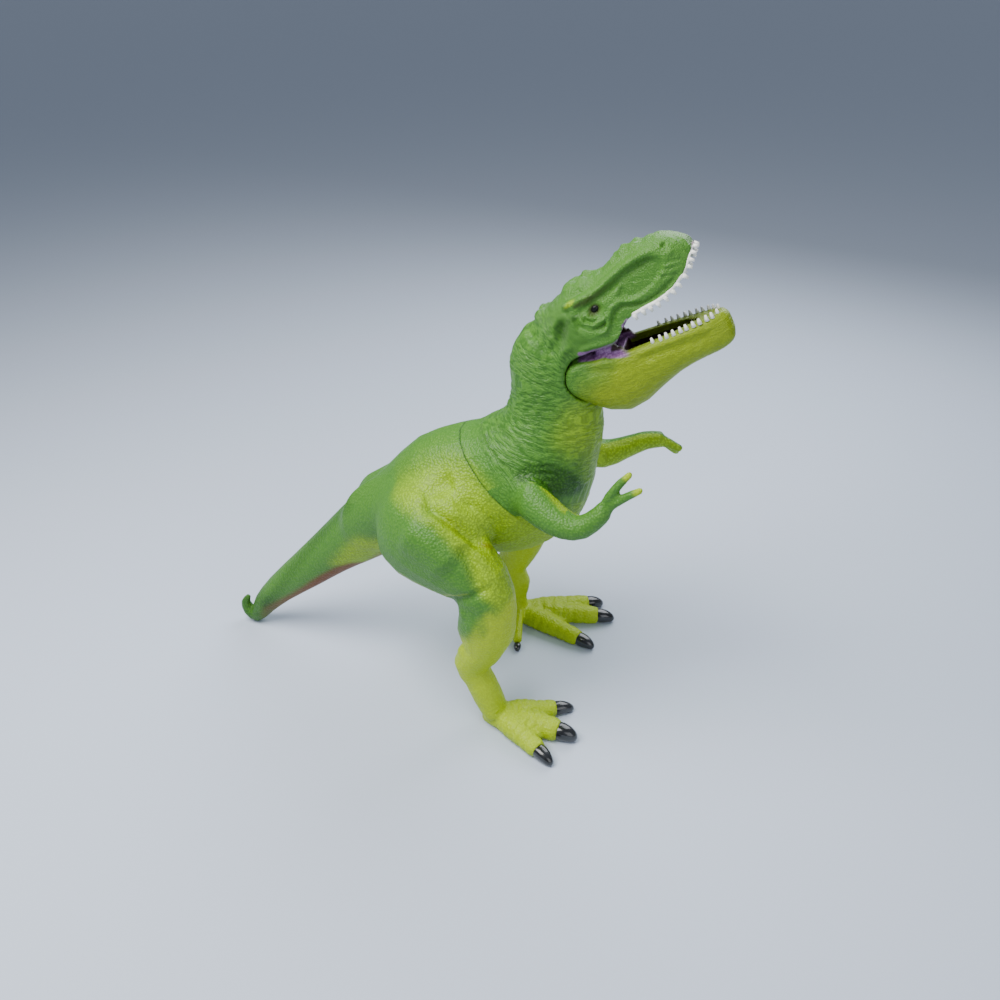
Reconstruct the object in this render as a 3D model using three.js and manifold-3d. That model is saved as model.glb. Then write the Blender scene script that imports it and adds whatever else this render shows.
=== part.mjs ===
// Toy dinosaur figure: a tyrannosaur of soft vinyl that stands on two feet with its tail behind it.
// X runs forward from tail to jaws, Y to the figure's left and Z up, in millimetres.
// The shells are closed tubes of oval rings along a smooth line, joined and cut as solids.
import * as THREE from 'three';
import { mergeVertices } from 'three/addons/utils/BufferGeometryUtils.js';
import Module from 'manifold-3d';

const wasm = await Module();
wasm.setup();

// Whole figure
const tailReach = 177; // from the line of the toe tips back to the tail's end
const backHeight = 120; // floor to the middle of the back
const trunkDepth = 55; // belly to back, square to the spine
const trunkWidth = 49;
const blockWidth = 900; // cutting blocks, wider than the figure

// Vinyl shells and how they join
const clearance = 0.3;
const shellWall = 2.2;
const collarDepth = 6; // spigot of the front shell inside the rear one
const collarWall = 1.8;
const flangeDepth = 3; // thick rim of the front shell that the spigot grows from
const seamTilt = -THREE.MathUtils.degToRad(40);

// Head and upper jaw, placed from the jaw's pivot
const headLength = 48;
const headDepth = 28;
const headWidth = 28;
const lipTilt = THREE.MathUtils.degToRad(50);
const lipHeight = 3.6; // lip plane above the pivot, square to the plane
const cornerTilt = THREE.MathUtils.degToRad(20);
const cornerHeight = 10.3; // edge of the cheek over the mouth's corner
const cornerBack = 2.6;

// Lower jaw
const jawLength = 45;
const jawDepth = 28;
const jawWidth = 26;
const rimTilt = THREE.MathUtils.degToRad(27);
const rimHeight = 4.7;
const drumRadius = 9.6; // rounded rear of the jaw, which turns in the head's hollow
const troughWall = 2.6;
const troughDepth = 4.5;
const cheekReach = 15.5; // radius of the inner cheek plates that close the mouth's corner
const cheekThickness = 1.6;
const cheekInset = 3.4;
const lugWidth = 8; // middle lug of the head that the pin passes through
const lugRadius = 5.5;
const pinDiameter = 3;
const pinLength = 18;
const pinClearance = 0.08;

// Teeth and the upper gum plate
const toothHeight = 2;
const toothWidth = 1.5;
const toothSink = 0.5;
const toothPitch = 2.35;
const toothInset = 0.9; // tooth middles in from the edge that they stand on
const gumBack = 18.5; // rear edge of the plate ahead of the pivot
const gumRise = 1; // white strip showing below the green lip
const gumDepth = 1.9;
const gumInset = 1.6;
const gumWall = 2.4;
const palateThickness = 1;

// Legs and feet
const stance = 76; // between the middles of the two feet
const thighDepth = 42;
const thighWidth = 26;
const toeLength = 26.5;
const toeThickness = 10.5;
const soleSink = 0.9; // how much of each round toe and pad is cut away flat
const clawLength = 8;
const clawThickness = 7;
const clawSink = 2;
const spurLength = 26;
const spurThickness = 4.5;
const hipPegDiameter = 10;
const hipPegLength = 6;

// Arms
const armThickness = 15;
const fingerLength = 13;
const fingerThickness = 4;
const armPegDiameter = 6;
const armPegLength = 5;

// Body tube, ring by ring from the tail's curled tip to the top of the neck
// [back, up, depth, width, aside, lean], shares of tailReach, backHeight, trunkDepth, trunkWidth twice;
// lean is the angle of the spine there, in degrees
const spineShares = [
  [0.96, 0.12, 0.036, 0.041, -0.12, -118],
  [0.973, 0.086, 0.076, 0.086, -0.12, -98],
  [0.967, 0.048, 0.105, 0.118, -0.12, -50],
  [0.945, 0.032, 0.14, 0.155, -0.115, 22],
  [0.915, 0.093, 0.2, 0.21, -0.1, 47],
  [0.864, 0.176, 0.255, 0.27, -0.08, 45],
  [0.776, 0.292, 0.335, 0.345, -0.05, 44],
  [0.704, 0.388, 0.4, 0.4, -0.025, 43],
  [0.638, 0.472, 0.48, 0.475, -0.01, 42],
  [0.564, 0.565, 0.57, 0.575, 0, 40],
  [0.48, 0.655, 0.69, 0.71, 0, 36],
  [0.398, 0.735, 0.87, 0.87, 0, 27],
  [0.314, 0.757, 1.03, 0.98, 0, 21],
  [0.24, 0.793, 1.05, 1, 0, 29],
  [0.186, 0.856, 1.01, 0.97, 0, 39],
  [0.155, 0.917, 0.91, 0.9, 0, 46],
  [0.137, 1.02, 0.75, 0.76, 0, 60],
  [0.13, 1.113, 0.71, 0.66, 0, 67],
  [0.137, 1.205, 0.68, 0.6, 0, 70],
  [0.122, 1.295, 0.61, 0.575, 0, 64],
  [0.068, 1.383, 0.436, 0.49, 0, 50],
];

// Skull, from inside the neck to the snout
// [forward, up, depth, width], shares of headLength, headLength, headDepth, headWidth
const skullShares = [
  [-0.385, 0.06, 0.714, 0.75],
  [-0.22, 0.21, 1.02, 0.98],
  [-0.08, 0.34, 1.05, 0.96],
  [0.09, 0.495, 0.96, 0.84],
  [0.278, 0.68, 0.93, 0.74],
  [0.455, 0.853, 0.8, 0.65],
  [0.53, 0.927, 0.6, 0.55],
  [0.597, 0.992, 0.24, 0.28],
];

// Lower jaw, from its rounded rear to the chin
const mandibleShares = [
  [-0.28, -0.02, 0.46, 0.93],
  [-0.13, -0.02, 0.64, 1.06],
  [0.02, -0.03, 0.8, 1.06],
  [0.19, 0, 1.02, 1.0],
  [0.37, 0.13, 0.87, 0.87],
  [0.57, 0.265, 0.68, 0.75],
  [0.75, 0.36, 0.57, 0.63],
  [0.85, 0.41, 0.54, 0.52],
  [0.92, 0.455, 0.5, 0.42],
  [0.97, 0.49, 0.4, 0.32],
  [0.996, 0.505, 0.22, 0.16],
];

// Leg, from inside the hip to the foot
// [back, up, depth, width, aside], shares of tailReach, backHeight, thighDepth, thighWidth, half the stance
const rightLegShares = [
  [0.497, 0.783, 0.43, 0.46, 0.5],
  [0.46, 0.735, 0.86, 0.85, 0.61],
  [0.395, 0.688, 1.05, 1.04, 0.7],
  [0.319, 0.633, 0.84, 1, 0.8],
  [0.251, 0.57, 0.607, 0.86, 0.88],
  [0.227, 0.475, 0.524, 0.77, 0.92],
  [0.236, 0.383, 0.548, 0.73, 0.94],
  [0.241, 0.313, 0.381, 0.62, 0.96],
  [0.265, 0.242, 0.371, 0.55, 0.97],
  [0.249, 0.183, 0.295, 0.49, 0.98],
  [0.229, 0.117, 0.29, 0.49, 0.99],
  [0.208, 0.05, 0.24, 0.5, 1],
];
const leftLegShares = [
  [0.497, 0.783, 0.43, 0.46, 0.5],
  [0.462, 0.735, 0.86, 0.85, 0.61],
  [0.402, 0.688, 1.05, 1.04, 0.7],
  [0.333, 0.633, 0.84, 0.97, 0.78],
  [0.275, 0.57, 0.607, 0.84, 0.84],
  [0.253, 0.475, 0.524, 0.75, 0.88],
  [0.255, 0.383, 0.52, 0.7, 0.89],
  [0.262, 0.313, 0.381, 0.6, 0.88],
  [0.28, 0.242, 0.36, 0.53, 0.87],
  [0.262, 0.183, 0.3, 0.48, 0.85],
  [0.268, 0.117, 0.27, 0.45, 0.83],
  [0.26, 0.05, 0.24, 0.5, 0.82],
];

// Foot pad and toes run out from the ankle's middle; the spur is the small rear toe
const padShares = [[-0.24, 0.5, 0.5], [-0.08, 0.75, 0.95], [0.15, 0.9, 1.35], [0.4, 0.8, 1.6], [0.6, 0.6, 1.3]];
const toeShares = [[0, 0.8, 0.8], [0.35, 0.95, 1], [0.7, 0.94, 1], [0.92, 0.86, 0.94], [1, 0.7, 0.8]];
const clawShares = [[0, 0.5, 0.95, 0.9], [0.4, 0.54, 1.04, 1], [0.75, 0.4, 0.76, 0.78], [1, 0.22, 0.3, 0.3]];
const spurShares = [[0, 1.9, 1.1, 1.1], [0.5, 1.2, 0.95, 0.95], [0.85, 0.75, 0.9, 0.9], [1, 0.5, 0.5, 0.5]];
// Ankle [back, aside] in shares of tailReach and half the stance; toes as [turn in degrees, share of toeLength]
const rightFoot = {
  ankleShares: [0.2, 1], toes: [[-34, 0.95], [-4, 1], [27, 0.94]], spur: [112, 0.6],
};
const leftFoot = {
  ankleShares: [0.255, 0.82], toes: [[-19, 1.29], [12, 1.45], [28, 1.32]], spur: [77, 1],
};

// Arms, from inside the shoulder to the wrist
// [back, up, depth, width, aside], shares of tailReach, backHeight, armThickness twice, trunkWidth
const rightArmShares = [
  [0.18, 0.905, 0.8, 0.6, 0.36],
  [0.158, 0.875, 1.05, 0.9, 0.46],
  [0.113, 0.845, 0.88, 0.87, 0.56],
  [0.067, 0.831, 0.69, 0.75, 0.63],
  [0.03, 0.84, 0.56, 0.6, 0.65],
  [-0.004, 0.89, 0.46, 0.5, 0.64],
  [-0.023, 0.935, 0.42, 0.5, 0.62],
];
const leftArmShares = [
  [0.18, 0.905, 0.8, 0.6, 0.36],
  [0.15, 0.87, 1.07, 0.9, 0.48],
  [0.1, 0.83, 0.93, 0.87, 0.58],
  [0.05, 0.812, 0.8, 0.8, 0.63],
  [0.005, 0.842, 0.62, 0.62, 0.64],
  [-0.045, 0.885, 0.5, 0.5, 0.63],
  [-0.083, 0.9, 0.42, 0.45, 0.62],
];
// Each finger's rise and outward spread
const rightFingers = [[62, -6], [36, 8]].map((turns) => turns.map(THREE.MathUtils.degToRad));
const leftFingers = [[-20, -6], [-38, 8]].map((turns) => turns.map(THREE.MathUtils.degToRad));
const fingerShares = [[-0.25, 1], [0.4, 0.88], [0.9, 0.72], [1, 0.4]];
const leftFingerShare = 0.7; // the left hand's fingers hang folded

// Fineness of the tubes, and how square a section is: 2 is an ellipse
const trunkSides = 22;
const limbSides = 16;
const fingerSides = 8;
const toothSides = 5;
const roundSegments = 36;
const roundSection = 2;
const leastHalf = 0.4; // half thickness of a hollow where the wall would close it
const jawSection = 2.7;

// Where the joints lie, worked out from the trunk
const pivotShares = { back: 0.048, up: 1.25 };
const pivot = new THREE.Vector3(-pivotShares.back * tailReach, 0, pivotShares.up * backHeight);
const seamShares = { back: 0.272, up: 0.896 };
const seam = new THREE.Vector3(-seamShares.back * tailReach, 0, seamShares.up * backHeight);
const neckHollowShare = 1.11; // ceiling of the front shell's hollow, of backHeight

function toSolid(geometry) {
  geometry.deleteAttribute('normal');
  geometry.deleteAttribute('uv');
  const merged = mergeVertices(geometry);
  return new wasm.Manifold(new wasm.Mesh({
    numProp: 3,
    vertProperties: new Float32Array(merged.attributes.position.array),
    triVerts: new Uint32Array(merged.index.array),
  }));
}

function toMesh(name, color, solid) {
  const { vertProperties, triVerts } = solid.getMesh();
  const geometry = new THREE.BufferGeometry();
  geometry.setAttribute('position', new THREE.BufferAttribute(vertProperties, 3));
  geometry.setIndex(new THREE.BufferAttribute(triVerts, 1));
  geometry.computeVertexNormals();
  const material = new THREE.MeshStandardMaterial({ color, roughness: 0.5, metalness: 0 });
  const mesh = new THREE.Mesh(geometry, material);
  mesh.name = name;
  return mesh;
}

const join = (...solids) => solids.reduce((all, next) => all.add(next));
const cut = (solid, ...tools) => tools.reduce((rest, tool) => rest.subtract(tool), solid);
const common = (...solids) => solids.reduce((all, next) => all.intersect(next));

// Superellipse: the sine or cosine of a ring's angle, pushed outward as the section gets squarer
function rounded(value, section) {
  return Math.sign(value) * Math.abs(value) ** (2 / section);
}

// A ring stands square to its lean, or to the line through its neighbours, with its width across the figure
function ringFrame(before, after, lean) {
  const along = lean === undefined ? after.clone().sub(before).normalize()
    : new THREE.Vector3(Math.cos(lean), 0, Math.sin(lean));
  const across = new THREE.Vector3(0, 1, 0);
  across.addScaledVector(along, -across.dot(along)).normalize();
  return { along, across, over: along.clone().cross(across) };
}

function smoothLine(points) {
  return new THREE.CatmullRomCurve3(points, false, 'catmullrom');
}

// Closed tube through rings of { at, depth, width } and perhaps lean; grow moves its whole skin outward
function loft(rings, { sides = limbSides, steps = 2, grow = 0, section = roundSection } = {}) {
  const path = smoothLine(rings.map((ring) => ring.at));
  const leans = rings[0].lean !== undefined;
  const halves = smoothLine(rings.map((ring) => new THREE.Vector3(ring.width / 2, ring.depth / 2, ring.lean ?? 0)));
  const count = (rings.length - 1) * steps;
  const middles = Array.from({ length: count + 1 }, (_, i) => path.getPoint(i / count));
  const points = [];
  for (let i = 0; i <= count; i++) {
    const half = halves.getPoint(i / count);
    const { along, across, over } = ringFrame(middles[Math.max(i - 1, 0)], middles[Math.min(i + 1, count)],
      leans ? half.z : undefined);
    const endShift = i === 0 ? -grow : i === count ? grow : 0;
    for (let k = 0; k < sides; k++) {
      const angle = (2 * Math.PI * k) / sides;
      points.push(middles[i].clone().addScaledVector(along, endShift)
        .addScaledVector(across, rounded(Math.cos(angle), section) * Math.max(half.x + grow, leastHalf))
        .addScaledVector(over, rounded(Math.sin(angle), section) * Math.max(half.y + grow, leastHalf)));
    }
  }
  const index = [];
  for (let i = 0; i < count; i++) {
    for (let k = 0; k < sides; k++) {
      const a = i * sides + k;
      const b = i * sides + ((k + 1) % sides);
      index.push(a, b, b + sides, a, b + sides, a + sides);
    }
  }
  const last = count * sides;
  for (let k = 1; k < sides - 1; k++) index.push(0, k + 1, k, last, last + k, last + k + 1);
  const geometry = new THREE.BufferGeometry().setFromPoints(points);
  geometry.setIndex(index);
  return toSolid(geometry);
}

const square = Math.PI / 2;

// Unit vector square to a plane that is tilted about Y, on its upper side
const upFrom = (tilt) => new THREE.Vector3(-Math.sin(tilt), 0, Math.cos(tilt));

// Everything above a tilted plane that lies a distance over a point
function above(point, tilt, distance) {
  const block = new THREE.BoxGeometry(blockWidth, blockWidth, blockWidth);
  block.translate(0, 0, blockWidth / 2);
  block.rotateY(-tilt);
  const corner = point.clone().addScaledVector(upFrom(tilt), distance);
  block.translate(corner.x, corner.y, corner.z);
  return toSolid(block);
}

const below = (point, tilt, distance) => above(point, tilt + 2 * square, -distance);
const ahead = (point, tilt, distance) => above(point, tilt - square, distance);

// Round bar across the figure, centred on the jaw's pivot
function crossBar(radius, width) {
  const bar = new THREE.CylinderGeometry(radius, radius, width, roundSegments);
  bar.translate(pivot.x, pivot.y, pivot.z);
  return toSolid(bar);
}

const onFloor = (solid) => solid.intersect(above(new THREE.Vector3(), 0, 0));

function bodyTube(grow) {
  const rings = spineShares.map(([back, up, depth, width, aside, lean]) => ({
    at: new THREE.Vector3(-back * tailReach, aside * trunkWidth, up * backHeight),
    depth: depth * trunkDepth,
    width: width * trunkWidth,
    lean: THREE.MathUtils.degToRad(lean),
  }));
  return loft(rings, { sides: trunkSides, grow });
}

function ringsFromPivot(shares, length, depthSize, widthSize) {
  return shares.map(([forward, up, depth, width]) => ({
    at: new THREE.Vector3(forward * length, 0, up * length).add(pivot),
    depth: depth * depthSize,
    width: width * widthSize,
  }));
}

const skullRings = ringsFromPivot(skullShares, headLength, headDepth, headWidth);
const mandibleRings = ringsFromPivot(mandibleShares, jawLength, jawDepth, jawWidth);
const skullTube = (grow) => loft(skullRings, { sides: trunkSides, grow, section: jawSection });
const mandibleTube = (grow) => loft(mandibleRings, { sides: trunkSides, grow, section: jawSection });

// Line round a jaw's edge, from its right rear to its left rear, where a tilted plane cuts its tube
function jawEdge(rings, tilt, height, inset) {
  const up = upFrom(tilt);
  const forward = upFrom(tilt - square);
  const right = rings.map(({ at, depth, width }) => {
    const rise = at.clone().sub(pivot).dot(up) - height;
    const half = (width / 2) * (1 - (Math.abs(rise) / (depth / 2)) ** jawSection) ** (1 / jawSection);
    return at.clone().addScaledVector(up, -rise).setY(inset - half);
  });
  right[right.length - 1].addScaledVector(forward, -inset);
  const left = right.map((point) => point.clone().setY(-point.y)).reverse();
  const front = right[right.length - 1].clone().addScaledVector(forward, inset / 2).setY(0);
  return smoothLine([...right, front, ...left]);
}

// Row of teeth standing on a jaw's edge at one pitch, growing along a direction
function teeth(edge, direction) {
  const count = Math.floor(edge.getLength() / toothPitch / 2) * 2;
  const turn = new THREE.Quaternion().setFromUnitVectors(new THREE.Vector3(0, 1, 0), direction);
  const length = toothHeight + toothSink;
  return Array.from({ length: count }, (_, i) => {
    const root = edge.getPointAt((i + 1 / 2) / count);
    const tooth = new THREE.ConeGeometry(toothWidth / 2, length, toothSides);
    tooth.translate(0, length / 2 - toothSink, 0);
    tooth.applyQuaternion(turn);
    tooth.translate(root.x, root.y, root.z);
    return toSolid(tooth);
  });
}

// Rings of a limb on one side of the figure
function limbRings(shares, side, thickness, asideSize) {
  return shares.map(([back, up, depth, width, aside]) => ({
    at: new THREE.Vector3(-back * tailReach, side * aside * asideSize, up * backHeight),
    depth: depth * thickness.depth,
    width: width * thickness.width,
  }));
}

// Peg from a limb's root toward the middle of the body
function peg(root, diameter, length, side, grow) {
  const full = root.width / 2 + length + grow;
  const pin = new THREE.CylinderGeometry(diameter / 2 + grow, diameter / 2 + grow, full, roundSegments / 2);
  pin.translate(root.at.x, root.at.y - (side * full) / 2, root.at.z);
  return toSolid(pin);
}

// Limbs are drawn with a grow, so that the same tube also cuts the pocket that it is seated in
function leg(side, grow = 0) {
  const thickness = { depth: thighDepth, width: thighWidth };
  const rings = limbRings(side > 0 ? leftLegShares : rightLegShares, side, thickness, stance / 2);
  return join(loft(rings, { grow }), peg(rings[1], hipPegDiameter, hipPegLength, side, grow));
}

function foot(side) {
  const { ankleShares, toes, spur } = side > 0 ? leftFoot : rightFoot;
  const ankle = new THREE.Vector3(-ankleShares[0] * tailReach, (side * ankleShares[1] * stance) / 2, 0);
  const forward = headingOf(toes[1][0]);
  const padRings = padShares.map(([along, thick, wide]) => ({
    at: ankle.clone().addScaledVector(forward, along * toeLength).setZ((thick * toeThickness) / 2 - soleSink),
    depth: thick * toeThickness,
    width: wide * toeThickness,
  }));
  const inward = headingOf(-side * spur[0]);
  const spurRings = spurShares.map(([along, up, depth, width]) => ({
    at: ankle.clone().addScaledVector(inward, along * spur[1] * spurLength).setZ(up * spurThickness),
    depth: depth * spurThickness,
    width: width * spurThickness,
  }));
  return join(loft(padRings), loft(spurRings, { sides: fingerSides }),
    ...toes.map(([turn, share]) => toe(ankle, headingOf(turn), share * toeLength)));
}

// Level direction, turned from straight ahead toward the figure's left
function headingOf(degrees) {
  return new THREE.Vector3(1, 0, 0).applyAxisAngle(new THREE.Vector3(0, 0, 1), THREE.MathUtils.degToRad(degrees));
}

function toe(ankle, heading, reach) {
  const toeRings = toeShares.map(([along, thick, wide]) => ({
    at: ankle.clone().addScaledVector(heading, along * reach).setZ((thick * toeThickness) / 2 - soleSink),
    depth: thick * toeThickness,
    width: wide * toeThickness,
  }));
  const clawRings = clawShares.map(([along, up, depth, width]) => ({
    at: ankle.clone().addScaledVector(heading, reach - clawSink + along * (clawLength + clawSink))
      .setZ(up * clawThickness),
    depth: depth * clawThickness,
    width: width * clawThickness,
  }));
  return join(loft(toeRings), loft(clawRings, { sides: fingerSides }));
}

function arm(side, grow = 0) {
  const thickness = { depth: armThickness, width: armThickness };
  const rings = limbRings(side > 0 ? leftArmShares : rightArmShares, side, thickness, trunkWidth);
  const wrist = rings[rings.length - 1].at;
  const reach = side > 0 ? fingerLength * leftFingerShare : fingerLength;
  const fingers = (side > 0 ? leftFingers : rightFingers).map(([rise, spread]) => {
    const heading = new THREE.Vector3(
      Math.cos(rise) * Math.cos(spread), side * Math.cos(rise) * Math.sin(spread), Math.sin(rise));
    return loft(fingerShares.map(([along, thick]) => ({
      at: wrist.clone().addScaledVector(heading, along * reach),
      depth: thick * fingerThickness,
      width: thick * fingerThickness,
    })), { sides: fingerSides, grow });
  });
  return join(loft(rings, { grow }), peg(rings[1], armPegDiameter, armPegLength, side, grow), ...fingers);
}

const limbs = (grow) => [leg(-1, grow), leg(1, grow), arm(-1, grow), arm(1, grow)];
const pocketWalls = limbs(clearance + shellWall);

// Belly, hips and tail, open at the seam; pockets and peg sockets keep a wall round them
function rearShell() {
  const skin = common(bodyTube(0), below(seam, seamTilt, 0));
  const hollow = cut(bodyTube(-shellWall), ...pocketWalls);
  return onFloor(cut(skin, hollow, ...limbs(clearance)));
}

// The jaw's solid outline: its tube behind the pivot is trimmed to a drum
function jawOutline(grow) {
  return common(mandibleTube(grow), join(crossBar(drumRadius + grow, blockWidth), ahead(pivot, 0, -grow)));
}

// Space between the jaws, open to the sides and the front
function mouthGap() {
  const overCorner = common(below(pivot, cornerTilt, cornerHeight), ahead(pivot, 0, -cornerBack));
  return common(above(pivot, rimTilt, rimHeight), join(below(pivot, lipTilt, lipHeight), overCorner));
}

function gumPlate(grow) {
  return common(skullTube(grow - gumInset), below(pivot, lipTilt, lipHeight + gumDepth + grow),
    ahead(pivot, lipTilt, gumBack - grow));
}

// Chest, neck and skull in one shell, with the spigot that plugs into the rear shell
function frontShell() {
  const skin = join(common(bodyTube(0), above(seam, seamTilt, clearance)), skullTube(0));
  const collarSkin = -shellWall - clearance;
  const collar = common(bodyTube(collarSkin), above(seam, seamTilt, -collarDepth),
    below(seam, seamTilt, flangeDepth));
  const wide = common(bodyTube(-shellWall), above(seam, seamTilt, flangeDepth));
  const narrow = bodyTube(collarSkin - collarWall);
  const ceiling = new THREE.Vector3(0, 0, neckHollowShare * backHeight);
  const hollow = cut(common(join(wide, narrow), below(ceiling, 0, 0)), ...pocketWalls);
  const cheekHollow = common(crossBar(cheekReach + clearance, jawWidth - 2 * (cheekInset - clearance)),
    above(pivot, 0, 0));
  const drumHollow = crossBar(drumRadius + clearance, blockWidth);
  const headed = cut(join(skin, collar), hollow, drumHollow, jawOutline(clearance), mouthGap(), cheekHollow,
    gumPlate(clearance), ...limbs(clearance));
  const lugBar = new THREE.BoxGeometry(cheekReach + lugRadius, lugWidth, lugRadius);
  lugBar.translate(pivot.x - (cheekReach + lugRadius) / 2, pivot.y, pivot.z);
  const lug = join(crossBar(lugRadius, lugWidth), toSolid(lugBar));
  return cut(join(headed, lug), pinHole());
}

const pinHole = () => crossBar(pinDiameter / 2 + pinClearance, pinLength + 2 * clearance);

function upperTeeth() {
  const plate = common(gumPlate(0), above(pivot, lipTilt, lipHeight - gumRise));
  const roof = common(skullTube(-gumInset - gumWall),
    below(pivot, lipTilt, lipHeight + gumDepth - palateThickness));
  const edge = jawEdge(skullRings.slice(4, -1), lipTilt, lipHeight - gumRise, gumInset + toothInset);
  return join(cut(plate, roof), ...teeth(edge, upFrom(lipTilt).negate()));
}

function lowerJaw() {
  const outline = common(jawOutline(0), join(below(pivot, rimTilt, rimHeight), crossBar(drumRadius, blockWidth)));
  const cheekBar = (halfInset) => crossBar(cheekReach, jawWidth - 2 * halfInset);
  const cheeks = common(cut(cheekBar(cheekInset), cheekBar(cheekInset + cheekThickness)),
    above(pivot, rimTilt, 0), ahead(pivot, 0, 0));
  const trough = common(mandibleTube(-troughWall), above(pivot, rimTilt, rimHeight - troughDepth),
    ahead(pivot, rimTilt, drumRadius + lugRadius / 2));
  const slot = crossBar(drumRadius + clearance, lugWidth + 2 * clearance);
  const edge = jawEdge(mandibleRings.slice(5, -2), rimTilt, rimHeight, toothInset);
  return join(cut(join(outline, cheeks), trough, slot, pinHole()), ...teeth(edge, upFrom(rimTilt)));
}

const figure = new THREE.Group();
figure.add(
  toMesh('rear_shell', 0x9fc23c, rearShell()),
  toMesh('front_shell', 0x5f9a3a, frontShell()),
  toMesh('upper_teeth', 0xf2f2ea, upperTeeth()),
  toMesh('lower_jaw', 0xa9a91c, lowerJaw()),
  toMesh('jaw_pin', 0xc9ccd0, crossBar(pinDiameter / 2, pinLength)),
  toMesh('right_leg', 0xb7cf1f, onFloor(join(leg(-1), foot(-1)))),
  toMesh('left_leg', 0xb7cf1f, onFloor(join(leg(1), foot(1)))),
  toMesh('right_arm', 0x5f9a3a, arm(-1)),
  toMesh('left_arm', 0x5f9a3a, arm(1)),
);

// The origin is the middle of the underside of the figure's bounding box
const bounds = new THREE.Box3().setFromObject(figure);
const middle = bounds.getCenter(new THREE.Vector3());
figure.position.set(-middle.x, -middle.y, -bounds.min.z);

export default figure;
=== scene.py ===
import math
import bmesh
import bpy
import numpy as np
from mathutils import Matrix, Vector


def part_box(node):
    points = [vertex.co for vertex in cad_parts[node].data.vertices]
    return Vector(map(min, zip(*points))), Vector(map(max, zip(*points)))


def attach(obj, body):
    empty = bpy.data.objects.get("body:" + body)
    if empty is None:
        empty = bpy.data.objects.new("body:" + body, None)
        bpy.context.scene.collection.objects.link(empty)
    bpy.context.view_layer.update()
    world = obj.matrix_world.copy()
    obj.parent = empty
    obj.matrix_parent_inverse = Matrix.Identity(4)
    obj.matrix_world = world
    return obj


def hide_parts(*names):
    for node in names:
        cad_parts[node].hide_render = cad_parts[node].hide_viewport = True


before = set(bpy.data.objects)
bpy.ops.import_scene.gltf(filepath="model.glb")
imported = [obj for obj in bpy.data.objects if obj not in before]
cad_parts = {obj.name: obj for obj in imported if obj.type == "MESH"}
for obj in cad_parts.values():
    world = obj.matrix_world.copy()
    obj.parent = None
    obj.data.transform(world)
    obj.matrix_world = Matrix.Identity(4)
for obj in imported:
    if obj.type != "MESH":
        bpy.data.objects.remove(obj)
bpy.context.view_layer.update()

mm = 0.001
pinLow, pinHigh = (Vector(corner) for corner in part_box("jaw_pin"))
pinX, pinZ = -8.5, 150  # the jaw pin in figure millimetres
figureZero = (pinLow + pinHigh) / 2 - Vector((pinX, 0, pinZ)) * mm  # floor under the toe tips, middle plane

# All places below are figure millimetres: x forward from the toe tips, y to the figure's left, z up.
# Marks with a negative y lie on the right side and are mirrored to the left one.


def place(x, y, z):
    return figureZero + Vector((x, y, z)) * mm


def cosSin(degrees):
    return math.cos(math.radians(degrees)), math.sin(math.radians(degrees))


def rgb(red, green, blue):
    parts = [c / 255 for c in (red, green, blue)]
    return tuple(c / 12.92 if c < 0.04045 else ((c + 0.055) / 1.055) ** 2.4 for c in parts) + (1.0,)


# Shader maths: a socket with operators
class Sock:
    def __init__(self, tree, out):
        self.tree = tree
        self.out = out

    def wire(self, node, values):
        for name, value in values.items():
            if isinstance(value, Sock):
                self.tree.links.new(value.out, node.inputs[name])
            else:
                node.inputs[name].default_value = value

    def node(self, kind, values=None, take=0, **settings):
        made = self.tree.nodes.new(kind)
        for name, value in settings.items():
            setattr(made, name, value)
        self.wire(made, values or {})
        return Sock(self.tree, made.outputs[take])

    def maths(self, operation, first, second):
        return self.node("ShaderNodeMath", {0: first, 1: second}, operation=operation)

    def __add__(self, other):
        return self.maths("ADD", self, other)

    __radd__ = __add__

    def __sub__(self, other):
        return self.maths("SUBTRACT", self, other)

    def __rsub__(self, other):
        return self.maths("SUBTRACT", other, self)

    def __mul__(self, other):
        return self.maths("MULTIPLY", self, other)

    __rmul__ = __mul__

    def scaled(self, scale):
        return self.node("ShaderNodeVectorMath", {0: self, "Scale": scale}, operation="SCALE")

    def timesPlus(self, factor, shift):
        return self.node("ShaderNodeVectorMath", {0: self, 1: factor, 2: shift}, operation="MULTIPLY_ADD")

    def between(self, low, high):
        return self.node("ShaderNodeMapRange", {"Value": self, "From Min": low, "From Max": high},
                         interpolation_type="SMOOTHSTEP")

    def mixed(self, first, second):
        return self.node("ShaderNodeMix", {0: self, 6: first, 7: second}, take=2, data_type="RGBA")

    def mixedNumber(self, first, second):
        return self.node("ShaderNodeMix", {0: self, 2: first, 3: second}, data_type="FLOAT")


# A new material, a socketless start for its nodes, and its shader
def newMaterial(name):
    material = bpy.data.materials.new(name)
    material.use_nodes = True
    tree = material.node_tree
    shader = tree.nodes["Principled BSDF"]
    return material, Sock(tree, None), shader


def noise(sock, scale, detail=2.0, take=0):
    where = sock.node("ShaderNodeTexCoord", take=3)
    return sock.node("ShaderNodeTexNoise", {"Vector": where, "Scale": scale, "Detail": detail}, take)


def readMark(sock, name):
    return sock.node("ShaderNodeAttribute", take=2, attribute_name=name)


def newObject(name, data):
    made = bpy.data.objects.new(name, data)
    bpy.context.collection.objects.link(made)
    return made


def meshOf(name, bm):
    mesh = bpy.data.meshes.new(name)
    bm.to_mesh(mesh)
    bm.free()
    return mesh


def fromBmesh(name, bm):
    return newObject(name, meshOf(name, bm))


def opened(mesh):
    bm = bmesh.new()
    bm.from_mesh(mesh)
    return bm


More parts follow.
